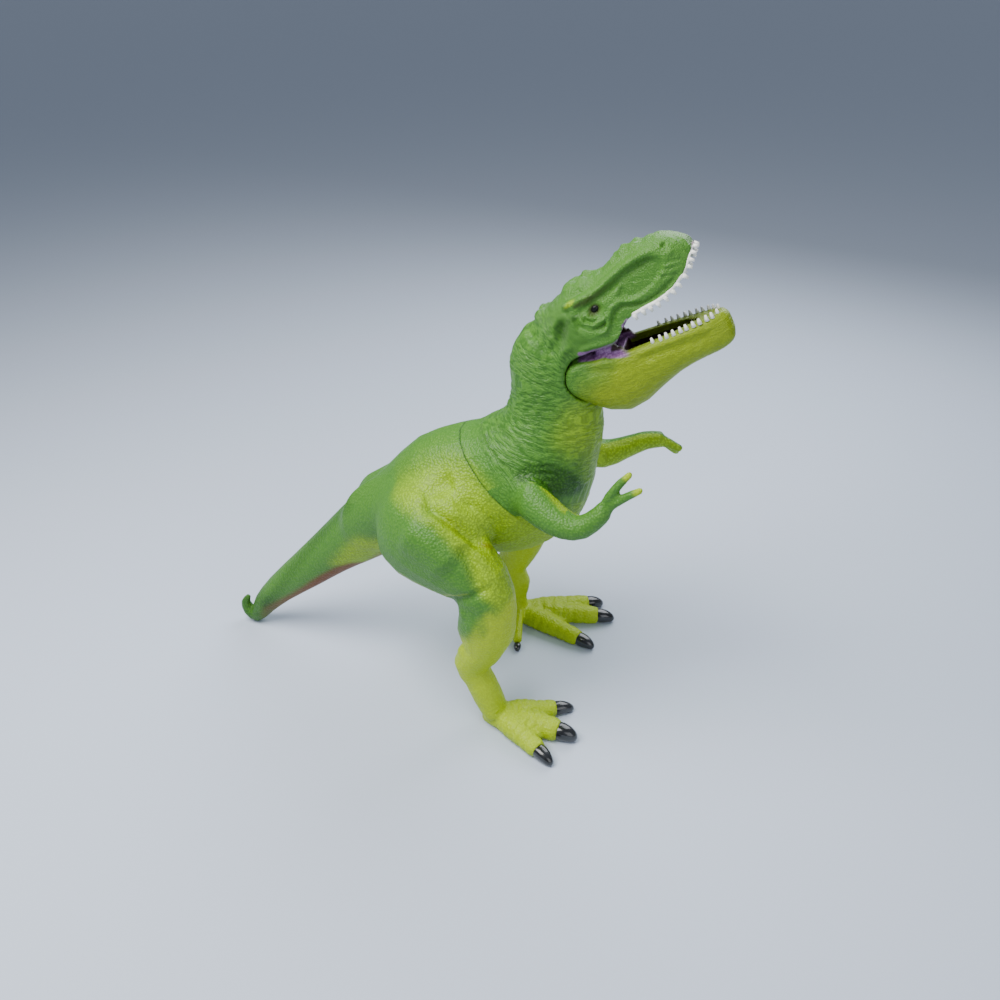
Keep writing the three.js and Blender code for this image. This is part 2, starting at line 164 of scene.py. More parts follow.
# Camera, floor and light
view = {"at": (40.9, -302.6, 283.0), "tilt": 58, "turn": 16, "lens": 32.4, "sensor": 36}
camera = newObject("camera", bpy.data.cameras.new("camera"))
camera.data.lens = view["lens"]
camera.data.sensor_width = view["sensor"]
camera.location = place(*view["at"])
camera.rotation_euler = (math.radians(view["tilt"]), 0, math.radians(view["turn"]))
bpy.context.scene.camera = camera

stage = {
    "size": 30.0, "floor": rgb(188, 199, 216), "roughness": 0.55, "sky": rgb(214, 224, 240),
    "skyPower": 0.36, "lampsAim": (-50, 0, 90),
}
bm = bmesh.new()
bmesh.ops.create_grid(bm, x_segments=1, y_segments=1, size=stage["size"])
floor = fromBmesh("floor", bm)
floorPaint, sock, shader = newMaterial("floorPaint")
sock.wire(shader, {"Base Color": stage["floor"], "Roughness": stage["roughness"]})
floor.data.materials.append(floorPaint)

world = bpy.data.worlds.new("studio")
world.use_nodes = True
sky = world.node_tree.nodes["Background"]
sky.inputs["Color"].default_value = stage["sky"]
sky.inputs["Strength"].default_value = stage["skyPower"]
bpy.context.scene.world = world

lamps = [
    {"name": "key", "at": (-260, -160, 520), "size": 0.4, "power": 5.8, "colour": (1.0, 0.98, 0.95)},
    {"name": "fill", "at": (330, -300, 260), "size": 0.4, "power": 0.9, "colour": (0.95, 0.97, 1.0)},
    {"name": "rim", "at": (60, 380, 420), "size": 0.4, "power": 2.6, "colour": (0.92, 0.96, 1.0)},
]
for lamp in lamps:
    data = bpy.data.lights.new(lamp["name"], "AREA")
    data.size = lamp["size"]
    data.energy = lamp["power"]
    data.color = lamp["colour"]
    light = newObject(lamp["name"], data)
    light.location = place(*lamp["at"])
    light.rotation_euler = (place(*stage["lampsAim"]) - light.location).to_track_quat("-Z", "Y").to_euler()
print("stage set")


# Shaping tools: points are numpy rows in figure millimetres
def addTo(bm, extra):
    mesh = meshOf("extra", extra)
    bm.from_mesh(mesh)
    bpy.data.meshes.remove(mesh)


# One mesh of several CAD pieces, each swollen by some millimetres so that they overlap
def copyOf(swells):
    bm = bmesh.new()
    for name, swell in swells.items():
        part = opened(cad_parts[name].data)
        bmesh.ops.remove_doubles(part, verts=part.verts, dist=1e-6)
        part.normal_update()
        for v in part.verts:
            v.co += v.normal * swell * mm
        addTo(bm, part)
    return bm


def remeshed(source, voxel):
    source.modifiers.new("remesh", "REMESH").mode = "VOXEL"
    source.modifiers["remesh"].voxel_size = voxel * mm
    graph = bpy.context.evaluated_depsgraph_get()
    mesh = bpy.data.meshes.new_from_object(source.evaluated_get(graph))
    bpy.data.objects.remove(source)
    return mesh


def largestIsland(mesh):
    bm = opened(mesh)
    left = set(bm.verts)
    largest = set()
    while left:
        border = {left.pop()}
        island = set(border)
        while border:
            border = {edge.other_vert(v) for v in border for edge in v.link_edges} & left
            left -= border
            island |= border
        largest = max(largest, island, key=len)
    bmesh.ops.delete(bm, geom=[v for v in bm.verts if v not in largest], context="VERTS")
    return bm


def fetch(items, what, width, kind=float):
    flat = np.empty(len(items) * width, dtype=kind)
    items.foreach_get(what, flat)
    return flat.reshape(-1, width)


def pointsOf(mesh):
    return (fetch(mesh.vertices, "co", 3) - np.array(figureZero)) / mm


def rowsOf(bm):
    return (np.array([v.co[:] for v in bm.verts]) - np.array(figureZero)) / mm


def setPoints(mesh, points):
    mesh.vertices.foreach_set("co", (points * mm + np.array(figureZero)).ravel())
    mesh.update()


def normalsOf(mesh):
    return fetch(mesh.vertices, "normal", 3)


def edgesOf(mesh):
    return fetch(mesh.edges, "vertices", 2, np.int64)


# Moves each point towards the middle of its neighbours, by its weight
def relax(points, edges, weight, rounds):
    moving = weight > 0.001
    edges = edges[moving[edges].any(axis=1)]
    used, small = np.unique(edges, return_inverse=True)
    small = small.reshape(-1, 2)
    first, second = small[:, 0], small[:, 1]
    count = len(used)
    share = weight[used] / np.maximum(np.bincount(small.ravel(), minlength=count), 1)
    part = points[used]
    for _ in range(rounds):
        for axis in range(part.shape[1]):
            column = part[:, axis]
            step = column[second] - column[first]
            part[:, axis] = column + share * (np.bincount(first, step, minlength=count)
                                              - np.bincount(second, step, minlength=count))
    points[used] = part
    return points


# Softens the borders of a mark
def spread(values, edges, rounds=2):
    return relax(values.astype(float)[:, None], edges, np.full(len(values), 0.5), rounds)[:, 0]


def smoothStep(value, low, high):
    t = np.clip((value - low) / (high - low), 0, 1)
    return t * t * (3 - 2 * t)


def strongest(*layers):
    return np.maximum.reduce(layers)


def mirrored(points):
    return np.column_stack([points[:, 0], -np.abs(points[:, 1]), points[:, 2]])


# Gentle random waves about size millimetres long, between about -1 and 1
def waves(points, size, seed, count=7):
    rng = np.random.default_rng(seed)
    total = np.zeros(len(points))
    for _ in range(count):
        heading = rng.normal(size=points.shape[1])
        heading /= np.linalg.norm(heading)
        pitch = size * rng.uniform(0.7, 1.4)
        total += np.sin(points @ heading * (2 * math.pi / pitch) + rng.uniform(0, 7))
    return total / math.sqrt(count)


# The place on a line of marks nearest to each point: how far off, how far along, and how far to the left
def nearestOn(points, marks):
    marks = np.array(marks, dtype=float)
    lengths = np.linalg.norm(np.diff(marks, axis=0), axis=1)
    starts = np.concatenate([[0], np.cumsum(lengths)])
    best = np.full(len(points), 1e9)
    along = np.zeros(len(points))
    lift = np.zeros(len(points))
    for i, length in enumerate(lengths):
        step = (marks[i + 1] - marks[i]) / length
        t = np.clip((points - marks[i]) @ step, 0, length)
        off = points - marks[i] - t[:, None] * step
        away = np.linalg.norm(off, axis=1)
        closer = away < best
        best[closer] = away[closer]
        along[closer] = starts[i] + t[closer]
        lift[closer] = (off[:, 1] * step[0] - off[:, 0] * step[1])[closer]
    return best, along, lift, starts


# An outline in the side view (x, z): 1 inside, 0 outside, with a soft border
def sidePatch(points, outline, soft):
    flat = points[:, [0, 2]]
    closed = outline + outline[:1]
    inside = np.zeros(len(flat), dtype=bool)
    for (ax, az), (bx, bz) in zip(closed[:-1], closed[1:]):
        crossing = (bx - ax) * (flat[:, 1] - az) / (bz - az if bz != az else 1e-9) + ax
        inside ^= ((az > flat[:, 1]) != (bz > flat[:, 1])) & (flat[:, 0] < crossing)
    away = nearestOn(flat, closed)[0]
    return smoothStep(np.where(inside, away, -away), -soft, soft)


# Distance from each point to a line of marks, and how far along the line it lies from 0 to 1
def lineDistance(points, marks):
    away, along, _, starts = nearestOn(points, marks)
    return away, along / starts[-1]


# A stroke pushes the skin along its normal near a line of marks; negative heights cut a groove
def stroke(points, normals, marks, height, width, taper=0.2):
    away, along = lineDistance(mirrored(points), marks)
    fade = smoothStep(along, -0.01, taper) * smoothStep(1 - along, -0.01, taper) if taper else 1
    points += normals * (height * fade * np.exp(-(away / width) ** 2))[:, None]


# A dab raises or hollows an oval patch with a flat middle; turn leans it about Y, in degrees
def dabMask(points, centre, radii, turn=0, edge=0.5):
    x, y, z = (mirrored(points) - centre).T
    c, s = cosSin(turn)
    local = np.column_stack([x * c + z * s, y, -x * s + z * c])
    reach = np.linalg.norm(local / radii, axis=1)
    return 1 - smoothStep(reach, edge, 1)


def dab(points, normals, centre, radii, height, turn=0, edge=0.2):
    points += normals * (height * dabMask(points, centre, radii, turn, edge))[:, None]


def setMarks(mesh, **marks):
    for name, values in marks.items():
        layer = mesh.attributes.new(name, "FLOAT", "POINT")
        layer.data.foreach_set("value", np.asarray(values, dtype=np.float32))


# The line of the spine, from the tail's end to the snout, and half the body's depth along it
spineMarks = [
    (-171, 6), (-167, 4), (-162, 11), (-153, 21), (-137, 35), (-125, 47), (-113, 57), (-100, 68), (-85, 79),
    (-70, 88), (-55.6, 91), (-42.5, 95), (-33, 103), (-27.4, 110), (-24.2, 122), (-23, 133.5),
    (-24.2, 144.6), (-21.6, 155.4), (-12, 166), (4.8, 182.6), (16.9, 194.4), (20.2, 197.6),
]
spineHalf = [
    1.5, 2.5, 4, 5.5, 7, 9.2, 11, 13.2, 15.7, 19, 24, 28.3, 28.9, 27.8, 25, 20.6, 19.5, 18.7, 16.8, 14, 13,
    11.2,
]


# How far along the spine each point lies, and its height over the spine in half depths
def spineOf(points):
    _, along, lift, starts = nearestOn(points[:, [0, 2]], spineMarks)
    return along, lift / np.interp(along, starts, spineHalf)


# Feet: where each ankle lies, and each toe's turn, reach and thickness
feet = {
    "right": {"side": -1, "ankle": (-35.4, -38), "spur": (112, 15.6),
              "toes": [(-34, 25.2, 0.82), (-4, 26.5, 1), (27, 24.9, 0.78)]},
    "left": {"side": 1, "ankle": (-45.1, 31.2), "spur": (-77, 26),
             "toes": [(-19, 34.2, 0.84), (12, 38.4, 0.9), (28, 35, 0.86)]},
}
toeBuild = {
    "footTop": 14, "toeTop": 13, "toeHalf": 6.2, "spurClear": 3.5, "webReach": 0.62, "webHalf": 2.6,
    "heelHalf": 4.2, "cuffLength": 7, "cuffHalf": 4.2, "cuffTaper": 0.86, "cuffRise": 0.94,
    "creases": (0.3, 0.42, 0.55, 0.68, 0.81), "creaseDepth": 0.3, "creaseWidth": 0.7, "spurLength": 4.2,
}


# Where points lie along and beside a heading that starts at the ankle
def toeFrame(foot, turn, points):
    ahead = np.array(cosSin(turn))
    flat = points[:, :2] - foot["ankle"]
    return flat @ ahead, flat @ np.array([-ahead[1], ahead[0]]), ahead


# The CAD's claws are drawn back into the toes, which grow slimmer; separate black claws take their place
def trimToes(foot, points):
    low = points[:, 2] < toeBuild["toeTop"]
    for turn, reach, slim in foot["toes"]:
        along, beside, ahead = toeFrame(foot, turn, points)
        mine = low & (np.abs(beside) < toeBuild["toeHalf"]) & (along > 0)
        for other, _, _ in foot["toes"]:
            if other != turn:
                mine &= np.abs(beside) <= np.abs(toeFrame(foot, other, points)[1])
        back = np.where(mine, np.maximum(along - reach + 1, 0), 0)
        points[:, :2] -= back[:, None] * ahead
        share = np.where(mine, smoothStep(along / reach, 0.35, 0.75), 0) * (1 - slim)
        points[:, :2] -= (share * beside)[:, None] * np.array([-ahead[1], ahead[0]])
        points[:, 2] *= 1 - share
    turn, reach = foot["spur"]
    along, beside, ahead = toeFrame(foot, turn, points)
    mine = low & (np.abs(beside) < toeBuild["spurClear"]) & (along > reach - toeBuild["spurLength"])
    points[:, :2] -= np.where(mine, along - reach + toeBuild["spurLength"], 0)[:, None] * ahead


def ballHull(centres):
    bm = bmesh.new()
    for (x, y, z), radius in centres:
        spot = Matrix.Translation(place(x, y, z))
        bmesh.ops.create_icosphere(bm, subdivisions=2, radius=radius * mm, matrix=spot)
    hull = bmesh.ops.convex_hull(bm, input=bm.verts)
    spare = {g for g in hull["geom_interior"] + hull["geom_unused"] if isinstance(g, bmesh.types.BMVert)}
    bmesh.ops.delete(bm, geom=list(spare), context="VERTS")
    bmesh.ops.recalc_face_normals(bm, faces=bm.faces)
    return bm


def toePoint(foot, index, share):
    turn, reach, _ = foot["toes"][index]
    c, s = cosSin(turn)
    x, y = foot["ankle"]
    return x + c * reach * share, y + s * reach * share


def webs(bm):
    heel, half = toeBuild["heelHalf"], toeBuild["webHalf"]
    for foot in feet.values():
        for index in range(2):
            ends = [toePoint(foot, toe, toeBuild["webReach"]) for toe in (index, index + 1)]
            addTo(bm, ballHull([((*foot["ankle"], heel), heel)] + [((*end, half), half) for end in ends]))


# Square toe ends, a little wider than the toe behind them
def cuffs(bm):
    for foot in feet.values():
        for index, (turn, reach, slim) in enumerate(foot["toes"]):
            half = toeBuild["cuffHalf"] * slim
            x, y = toePoint(foot, index, 1 - toeBuild["cuffLength"] / 2 / reach)
            turned = Matrix.Rotation(math.radians(turn), 4, "Z") @ Matrix.Rotation(math.pi / 2, 4, "Y")
            spot = Matrix.Translation(place(x, y, half * toeBuild["cuffRise"])) @ turned
            bmesh.ops.create_cone(bm, cap_ends=True, segments=32, radius1=half * toeBuild["cuffTaper"] * mm,
                                  radius2=half * mm, depth=toeBuild["cuffLength"] * mm, matrix=spot)


# The right hand is drawn back to its wrist, and a palm with two slim fingers takes its place
hand = {
    "wrist": (1.6, -31, 109.2), "rise": 49,
    "palm": [((0.7, -31.4, 106.8), 3.2), ((2, -30.8, 111.6), 1.8), ((3.6, -31, 109.9), 1.9)],
    "fingers": [
        [((2, -30.8, 111.6), 1.8), ((3.4, -30.7, 114.9), 1.75), ((6.6, -30.4, 120.2), 1.65),
         ((9.7, -30.1, 124.2), 1.3)],
        [((3.4, -30.9, 110.1), 1.8), ((5.6, -31, 112.4), 1.75), ((9.9, -31.5, 116.3), 1.65),
         ((14, -32, 119.5), 1.3)],
    ],
}


def trimHand(points):
    c, s = cosSin(hand["rise"])
    ahead = np.array([c, 0, s])
    over = (points - hand["wrist"]) @ ahead
    mine = (points[:, 1] < -24) & (points[:, 2] > 105) & (over > 0)
    points -= np.where(mine, over, 0)[:, None] * ahead


def handParts(bm):
    addTo(bm, ballHull(hand["palm"]))
    for finger in hand["fingers"]:
        for first, second in zip(finger[:-1], finger[1:]):
            addTo(bm, ballHull([first, second]))


# The figure's skin
skin = {
    "voxel": 0.72,
    "swell": {"rear_shell": 0.1, "front_shell": 0, "right_leg": 0.2, "left_leg": 0.2,
              "right_arm": 0.2, "left_arm": 0.2},
    "seamAt": (-48.14, 0, 107.52), "seamTilt": -40, "seamDepth": 0.16, "seamGap": 0.04, "hipRounds": 800,
    "allRounds": 2, "wristRounds": 8, "rippleHeight": 0.24, "ripplePitch": 2.7,
}
bm = copyOf(skin["swell"])
blank = rowsOf(bm)
for foot in feet.values():
    mine = np.flatnonzero((blank[:, 1] * foot["side"] > 0) & (blank[:, 2] < toeBuild["footTop"]))
    part = blank[mine]
    trimToes(foot, part)
    blank[mine] = part
trimHand(blank)
blank = blank * mm + np.array(figureZero)
for v, row in zip(bm.verts, blank):
    v.co = row
webs(bm)
cuffs(bm)
handParts(bm)
for v in bm.verts:
    v.co.z = max(v.co.z, 0)
skinMesh = meshOf("skin", largestIsland(remeshed(fromBmesh("skinBlank", bm), skin["voxel"])))
points, edges = pointsOf(skinMesh), edgesOf(skinMesh)
print("skin blank:", len(points), "points")

# Where limbs and tail flow into the body: centre and radii of each place that is smoothed
hips = {
    "hip": ((-76, -26, 90), (26, 14, 22)),
    "tailSide": ((-98, -20, 82), (20, 16, 26)),
    "hipTop": ((-62, -24, 106), (20, 13, 10)),
    "groin": ((-52, -26, 88), (12, 10, 10)),
    "shoulder": ((-31, -22, 104), (9, 8, 9)),
}
joined = np.zeros(len(points))
dab(points, normalsOf(skinMesh), (-99, -11, 77), (22, 14, 20), 7.5, 40, 0.1)
for centre, radii in hips.values():
    joined = np.maximum(joined, dabMask(points, centre, radii, edge=0.55))
points = relax(points, edges, 0.5 * joined, skin["hipRounds"])
points = relax(points, edges, np.full(len(points), 0.4), skin["allRounds"])
points = relax(points, edges, 0.5 * dabMask(points, (0.5, -31.6, 109.6), (5.5, 5, 5), edge=0.3),
               skin["wristRounds"])
setPoints(skinMesh, points)
normals = normalsOf(skinMesh)

# Folds and creases between thigh and flank, at the groin, knee, shoulder and calf: marks, height and width
bodyStrokes = [
    ([(-69.2, -29.6, 103.1), (-63.7, -33, 100), (-56, -34, 95.4), (-47, -33.5, 88.7),
      (-41, -30, 83.8)], -3.6, 3.2),
    ([(-58, -20.9, 105), (-65.5, -26, 103.6), (-69.2, -29.6, 103.1)], -2.2, 4.5),
    ([(-66, -35, 98), (-57.5, -36, 94), (-50, -36, 88.5), (-46, -36, 84)], 1.7, 1.8),
    ([(-52, -38, 88), (-47, -40, 84), (-44, -42, 78), (-42, -43, 71)], -1.9, 2.6),
    ([(-76, -38.9, 90), (-62, -41, 87), (-52, -43, 79)], 2, 7),
    ([(-40.9, -30.8, 83.7), (-36.6, -33.1, 78.9), (-33.4, -33.6, 73.3), (-31.1, -32.8, 64)], -0.45, 0.8),
    ([(-9.1, -7.6, 106), (-10.6, -8.6, 101), (-12.6, -9.4, 95)], -0.8, 1),
    ([(-33.1, -21, 108), (-27, -24, 103), (-20, -26, 99)], -0.7, 1.6),
    ([(-66, -30, 102), (-62, -33, 99.4), (-55, -34.5, 94.6), (-47, -34, 88.2), (-42, -31, 84)], -1.6, 1),
    ([(-58, -37, 62), (-52, -42, 65), (-48.5, -43.8, 67.2), (-45, -44.5, 69), (-41.3, -43.7, 71.6),
      (-36, -41, 73.6)], -1.7, 1.9),
    ([(-58, -36, 57), (-52, -41, 58), (-46, -43.5, 60)], 0.9, 2.6),
    ([(-56, -38, 44), (-52.5, -41.5, 43.4), (-48, -44, 42)], -1.3, 1.3),
]
# Swells of the groin, calf and hock, and the slimmer shin: centre, radii, height, turn and edge
bodyDabs = [
    ((-53, -24, 96), (17, 12, 11), 1.3, 0, 0.2),
    ((-47, -42, 54), (10, 9, 9), 1.3, 0, 0.2),
    ((-53.5, -41, 38), (5, 6, 4.5), 1.7, 0, 0.2),
    ((-44, -38.5, 28), (10, 10, 12), -1.1, 0, 0.3),
]
for row in bodyStrokes:
    stroke(points, normals, *row)
for row in bodyDabs:
    dab(points, normals, *row)
along, lift = spineOf(points)
ripple = smoothStep(along, 168, 186) * (1 - smoothStep(along, 232, 244)) * (np.abs(points[:, 1]) < 24.5)
phase = along / skin["ripplePitch"] + 0.55 * waves(points, 14, 4)
ripple *= skin["rippleHeight"] * np.sin(2 * math.pi * phase)
points += normals * (ripple * (0.6 + 0.4 * waves(points, 9, 5)))[:, None]
for foot in feet.values():
    for turn, reach, _ in foot["toes"]:
        s, beside, _ = toeFrame(foot, turn, points)
        mine = (points[:, 2] < toeBuild["toeTop"]) & (np.abs(beside) < 6) & (s > 4) & (s < reach - 1.5)
        lines = sum(np.exp(-((s - reach * share) / toeBuild["creaseWidth"]) ** 2)
                    for share in toeBuild["creases"])
        points -= normals * (mine * toeBuild["creaseDepth"] * lines)[:, None]
points[:, 2] = np.maximum(points[:, 2], 0)
setPoints(skinMesh, points)
print("skin shaped")


# The skin is cut at the moulding seam into rear and front
def halfSkin(name, sign):
    bm = opened(skinMesh)
    c, s = cosSin(skin["seamTilt"])
    up = Vector((-s, 0, c)) * sign
    origin = place(*skin["seamAt"]) + up * skin["seamGap"] * mm
    whole = bm.verts[:] + bm.edges[:] + bm.faces[:]
    cut = bmesh.ops.bisect_plane(bm, geom=whole, dist=1e-7, plane_co=origin, plane_no=up, clear_inner=True)
    rim = [g for g in cut["geom_cut"] if isinstance(g, bmesh.types.BMEdge)]
    for v in {v for edge in rim for v in edge.verts}:
        v.co -= v.normal * skin["seamDepth"] * mm
    bmesh.ops.holes_fill(bm, edges=rim, sides=0)
    bmesh.ops.recalc_face_normals(bm, faces=bm.faces)
    for edge in rim:
        edge.smooth = False
    return meshOf(name, bm)


# Cuts the faces between the chosen points into quarters
def finer(mesh, inside):
    bm = opened(mesh)
    bm.verts.ensure_lookup_table()
    wanted = {v for v, chosen in zip(bm.verts, inside) if chosen}
    rims = [e for e in bm.edges if e.verts[0] in wanted and e.verts[1] in wanted]
    bmesh.ops.subdivide_edges(bm, edges=rims, cuts=1, use_grid_fill=True)
    bm.to_mesh(mesh)
    bm.free()


rearMesh = halfSkin("rearSkin", -1)
frontMesh = halfSkin("frontSkin", 1)
bpy.data.meshes.remove(skinMesh)
points = pointsOf(frontMesh)
finer(frontMesh, (points[:, 2] > 157 - 0.45 * (points[:, 0] - pinX)) & (points[:, 2] > 146))
print("skins:", len(rearMesh.polygons), len(frontMesh.polygons), "faces")


# Points in the side view beyond a line (on its right when walking along it) are drawn back to the line
def clipTo(points, curve, slack):
    curve = np.array(curve, dtype=float)
    beyond = np.zeros(len(points))
    back = np.zeros((len(points), 2))
    best = np.full(len(points), 1e9)
    flat = points[:, [0, 2]]
    for a, b in zip(curve[:-1], curve[1:]):
        step = (b - a) / np.linalg.norm(b - a)
        t = (flat - a) @ step
        held = np.clip(t, 0, np.linalg.norm(b - a))
        away = np.linalg.norm(flat - a - held[:, None] * step, axis=1)
        outward = np.array([step[1], -step[0]])
        depth = (flat - a) @ outward - slack
        near = (away < best) & (away < 9)
        best[near] = away[near]
        beyond[near] = np.where(np.abs(t - held) < 0.6, depth, 0)[near]
        back[near] = outward
    beyond = np.maximum(beyond, 0)
    points[:, 0] -= beyond * back[:, 0]
    points[:, 2] -= beyond * back[:, 1]
    return beyond > 0.02


lip = {
    "curve": [(-0.6, 165.6), (0.3, 168.5), (1.5, 172.2), (3.6, 174.7), (6.5, 176.7), (8.8, 178.1),
        (11.1, 179.5), (13.3, 181.6), (15.4, 184), (16.9, 186.3), (18.5, 189.1), (19.5, 192.3),
        (19.8, 194.1), (20.1, 196), (20.2, 198.6)],
}

# Head: brow, eye socket, snout hollow, lip fold, temple and crest
head = {
    "smoothRounds": 3, "topHeight": 200.42, "grainHeight": 0.12, "lidHalf": (2.7, 2.0), "lidHeight": 1.4,
    "lidWidth": 0.5, "eyeAt": (-9.4, 9.75, 175.5), "eyeHalf": (1.65, 1.0, 1.2), "eyeLean": 50,
    "crestRadii": (2.5, 2.5, 2.0),
    "crest": [(-20.5, -4, 178.5, 0.75), (-15.5, -3.5, 183.0, 1), (-6.5, -4, 190.5, 0.75),
        (-3, -3.5, 194, 1), (0.5, -4, 197, 0.75), (4.4, -3.5, 199.4, 0.55), (8, -4, 200.6, 0.3)],
}
points, edges = pointsOf(frontMesh), edgesOf(frontMesh)
onHead = smoothStep(points[:, 2], 148, 152)
points = relax(points, edges, 0.5 * onHead, head["smoothRounds"])
setPoints(frontMesh, points)
normals = normalsOf(frontMesh)
# Snout hollow, eye socket, temple, horn, brow, skull and nostril: centre, radii, height, turn and edge
headDabs = [
    ((5.2, -9.8, 187.2), (10.4, 5, 4.9), -1.2, 47, 0.7),
    ((-9.4, -12, 175.6), (4.4, 5, 3.8), -1.9, 20, 0.1),
    ((-20.3, -12.9, 167.2), (3.3, 5, 6), -1.9, 0, 0.1),
    ((-19.4, -10.2, 175.2), (2.4, 3.5, 2), 1.6, 20, 0.1),
    ((-16, -5, 181.6), (7, 5, 4.2), 1.9, 40, 0.1),
    ((-21, 0, 179.4), (4.8, 9.5, 4.2), 2.3, 38, 0.2),
    ((-9.4, -3.2, 187), (2.2, 4, 1.8), -0.8, 45, 0.1),
    ((-30.2, -3.5, 168.6), (4.2, 8, 3.2), 2.4, 45, 0.1),
    ((11.4, -6.6, 198.2), (1.4, 2, 1.1), -1.2, 40, 0.1),
    ((-9.5, -12.8, 167), (8, 6, 5), 0.9, 0, 0.1),
    ((13.6, -6.6, 196), (2.2, 3, 2), 0.7, 40, 0.1),
]
for row in headDabs:
    dab(points, normals, *row)
# Brow ridge and its groove, lip fold, cheek line, lids, snout wrinkles, jaw muscle and neck folds
headStrokes = [
    ([(-20.5, -11, 174), (-17.7, -11, 176.6), (-13.5, -11, 179.2), (-9.5, -10.8, 182), (-6.3, -10.2, 185.2),
      (-3.2, -9.5, 188.4), (0.6, -9, 191.7), (4.1, -8.6, 194.3), (7.7, -8.4, 196),
      (10.9, -8, 196.9)], 2.2, 1.8),
    ([(-18, -12.5, 172.2), (-12.9, -12.5, 175.6), (-9.4, -12, 178.8), (-6.5, -11.1, 181.6),
      (-3.4, -10.2, 185), (-0.4, -9.5, 188.4), (3.3, -8.9, 191.8), (7.1, -8.6, 194.2),
      (10.6, -8.4, 193.2)], -1.7, 1.5),
    ([(-3.2, -11.9, 168), (-2.4, -11.6, 172.7), (-2, -11.4, 175.6), (-0.1, -11.1, 177.7),
      (3.2, -10.7, 178.3), (7.2, -10.2, 179.2), (10.4, -9.7, 181.4), (13.5, -9.2, 184.4), (16.2, -8.7, 188),
      (18.2, -8, 192)], -1, 0.9),
    ([(-4.8, -12, 167), (-4.2, -12, 172.9), (-3.6, -11.6, 176.8), (-0.9, -11.2, 179.3), (3.2, -10.8, 180),
      (7.4, -10.2, 180.8)], 0.7, 0.9),
    ([(3.6, -10.6, 175.4), (8, -10, 178), (12.2, -9.4, 181.4), (15.4, -8.8, 185.2),
      (17.6, -8.2, 189.6)], 0.5, 1.1),
    ([(0.8, -11.1, 172.2), (0, -10.8, 168), (-2.8, -11.6, 165.3), (-9.3, -13.1, 163),
      (-14, -13.8, 160.8)], 1, 1.2),
    ([(-18.6, -11.8, 173.6), (-14.5, -12, 176.2), (-10.6, -11.8, 179), (-7.2, -11, 181.9),
      (-4.2, -10.2, 185), (-1, -9.5, 188.4), (2.8, -9, 191.8), (6.6, -8.6, 194.2)], -0.9, 0.6),
    ([(-15.1, -12.4, 177.3), (-14.8, -12.6, 173.9), (-12.7, -12.8, 170.9), (-9.1, -12.8, 170.5),
      (-6.1, -12.2, 172.6), (-4, -11.6, 175.3)], 0.8, 0.55),
    ([(-13.4, -12.4, 176.5), (-13.2, -12.6, 174), (-11.7, -12.7, 172), (-9.3, -12.7, 171.6),
      (-7.2, -12.2, 173.2)], -0.8, 0.5),
    ([(-16.2, -12.6, 176.6), (-16, -12.8, 172.9), (-13.6, -13, 169.4), (-9.4, -13, 168.6),
      (-5.5, -12.4, 170.7), (-3.6, -11.9, 174)], -1, 0.5),
    ([(-17.2, -12.6, 176), (-17.2, -12.9, 171.9), (-14.5, -13.1, 167.8), (-9.7, -13.1, 166.5),
      (-4.9, -12.6, 168.8), (-2.8, -11.9, 172.6)], 0.7, 0.6),
    ([(12, -9, 190.8), (15.4, -8.4, 191.6), (18, -7.4, 192.6)], -0.4, 0.5),
    ([(12.4, -8.8, 193), (15.6, -8, 193.8), (18.2, -6.8, 194.6)], -0.4, 0.5),
    ([(11.4, -9.2, 188.4), (14.4, -8.8, 189), (17, -8, 189.6)], -0.4, 0.5),
    ([(-15.5, -13.5, 163), (-18.5, -13.3, 160.5), (-20, -13, 157), (-20.2, -13, 152),
      (-19, -13, 148)], 1, 1.2),
    ([(-22.5, -12.8, 163), (-24, -12.6, 158), (-24.5, -12.6, 152), (-23.8, -12.6, 147)], -1.1, 0.8),
    ([(-26, -11.5, 163), (-27.6, -11.5, 157), (-28, -11.5, 150), (-26.6, -12, 143)], -1, 0.8),
    ([(-7, -2.4, 190), (-2, -2.4, 195), (3, -2.6, 198.6)], 1.1, 2.6),
    ([(-34.5, -1, 164), (-33.2, -7, 163), (-30, -10.5, 162.6)], -1, 1.3),
]
for row in headStrokes:
    stroke(points, normals, *row)
eyeCos, eyeSin = cosSin(head["eyeLean"])
eyeX, eyeY, eyeZ = head["eyeAt"]
lidLong, lidShort = head["lidHalf"]
lid = []
for a in np.linspace(0, 2 * math.pi, 17):
    ahead, over = lidLong * math.cos(a), lidShort * math.sin(a)
    lid.append((eyeX + ahead * eyeCos - over * eyeSin, -12.4, eyeZ + ahead * eyeSin + over * eyeCos))
stroke(points, normals, lid, head["lidHeight"], head["lidWidth"], taper=0)
for x, y, z, height in head["crest"]:
    dab(points, normals, (x, y, z), head["crestRadii"], height, 40, 0.1)
onSkull = smoothStep(points[:, 2], 160, 166) * smoothStep(points[:, 0], -34, -28)
grain = head["grainHeight"] * waves(points, 2.2, 8) * (0.5 + 0.5 * waves(points, 8, 9))
points += normals * (onSkull * grain)[:, None]
clipped = clipTo(points, lip["curve"], 0)
points[:, 2] = np.minimum(points[:, 2], head["topHeight"])
setPoints(frontMesh, points)
print("head shaped")


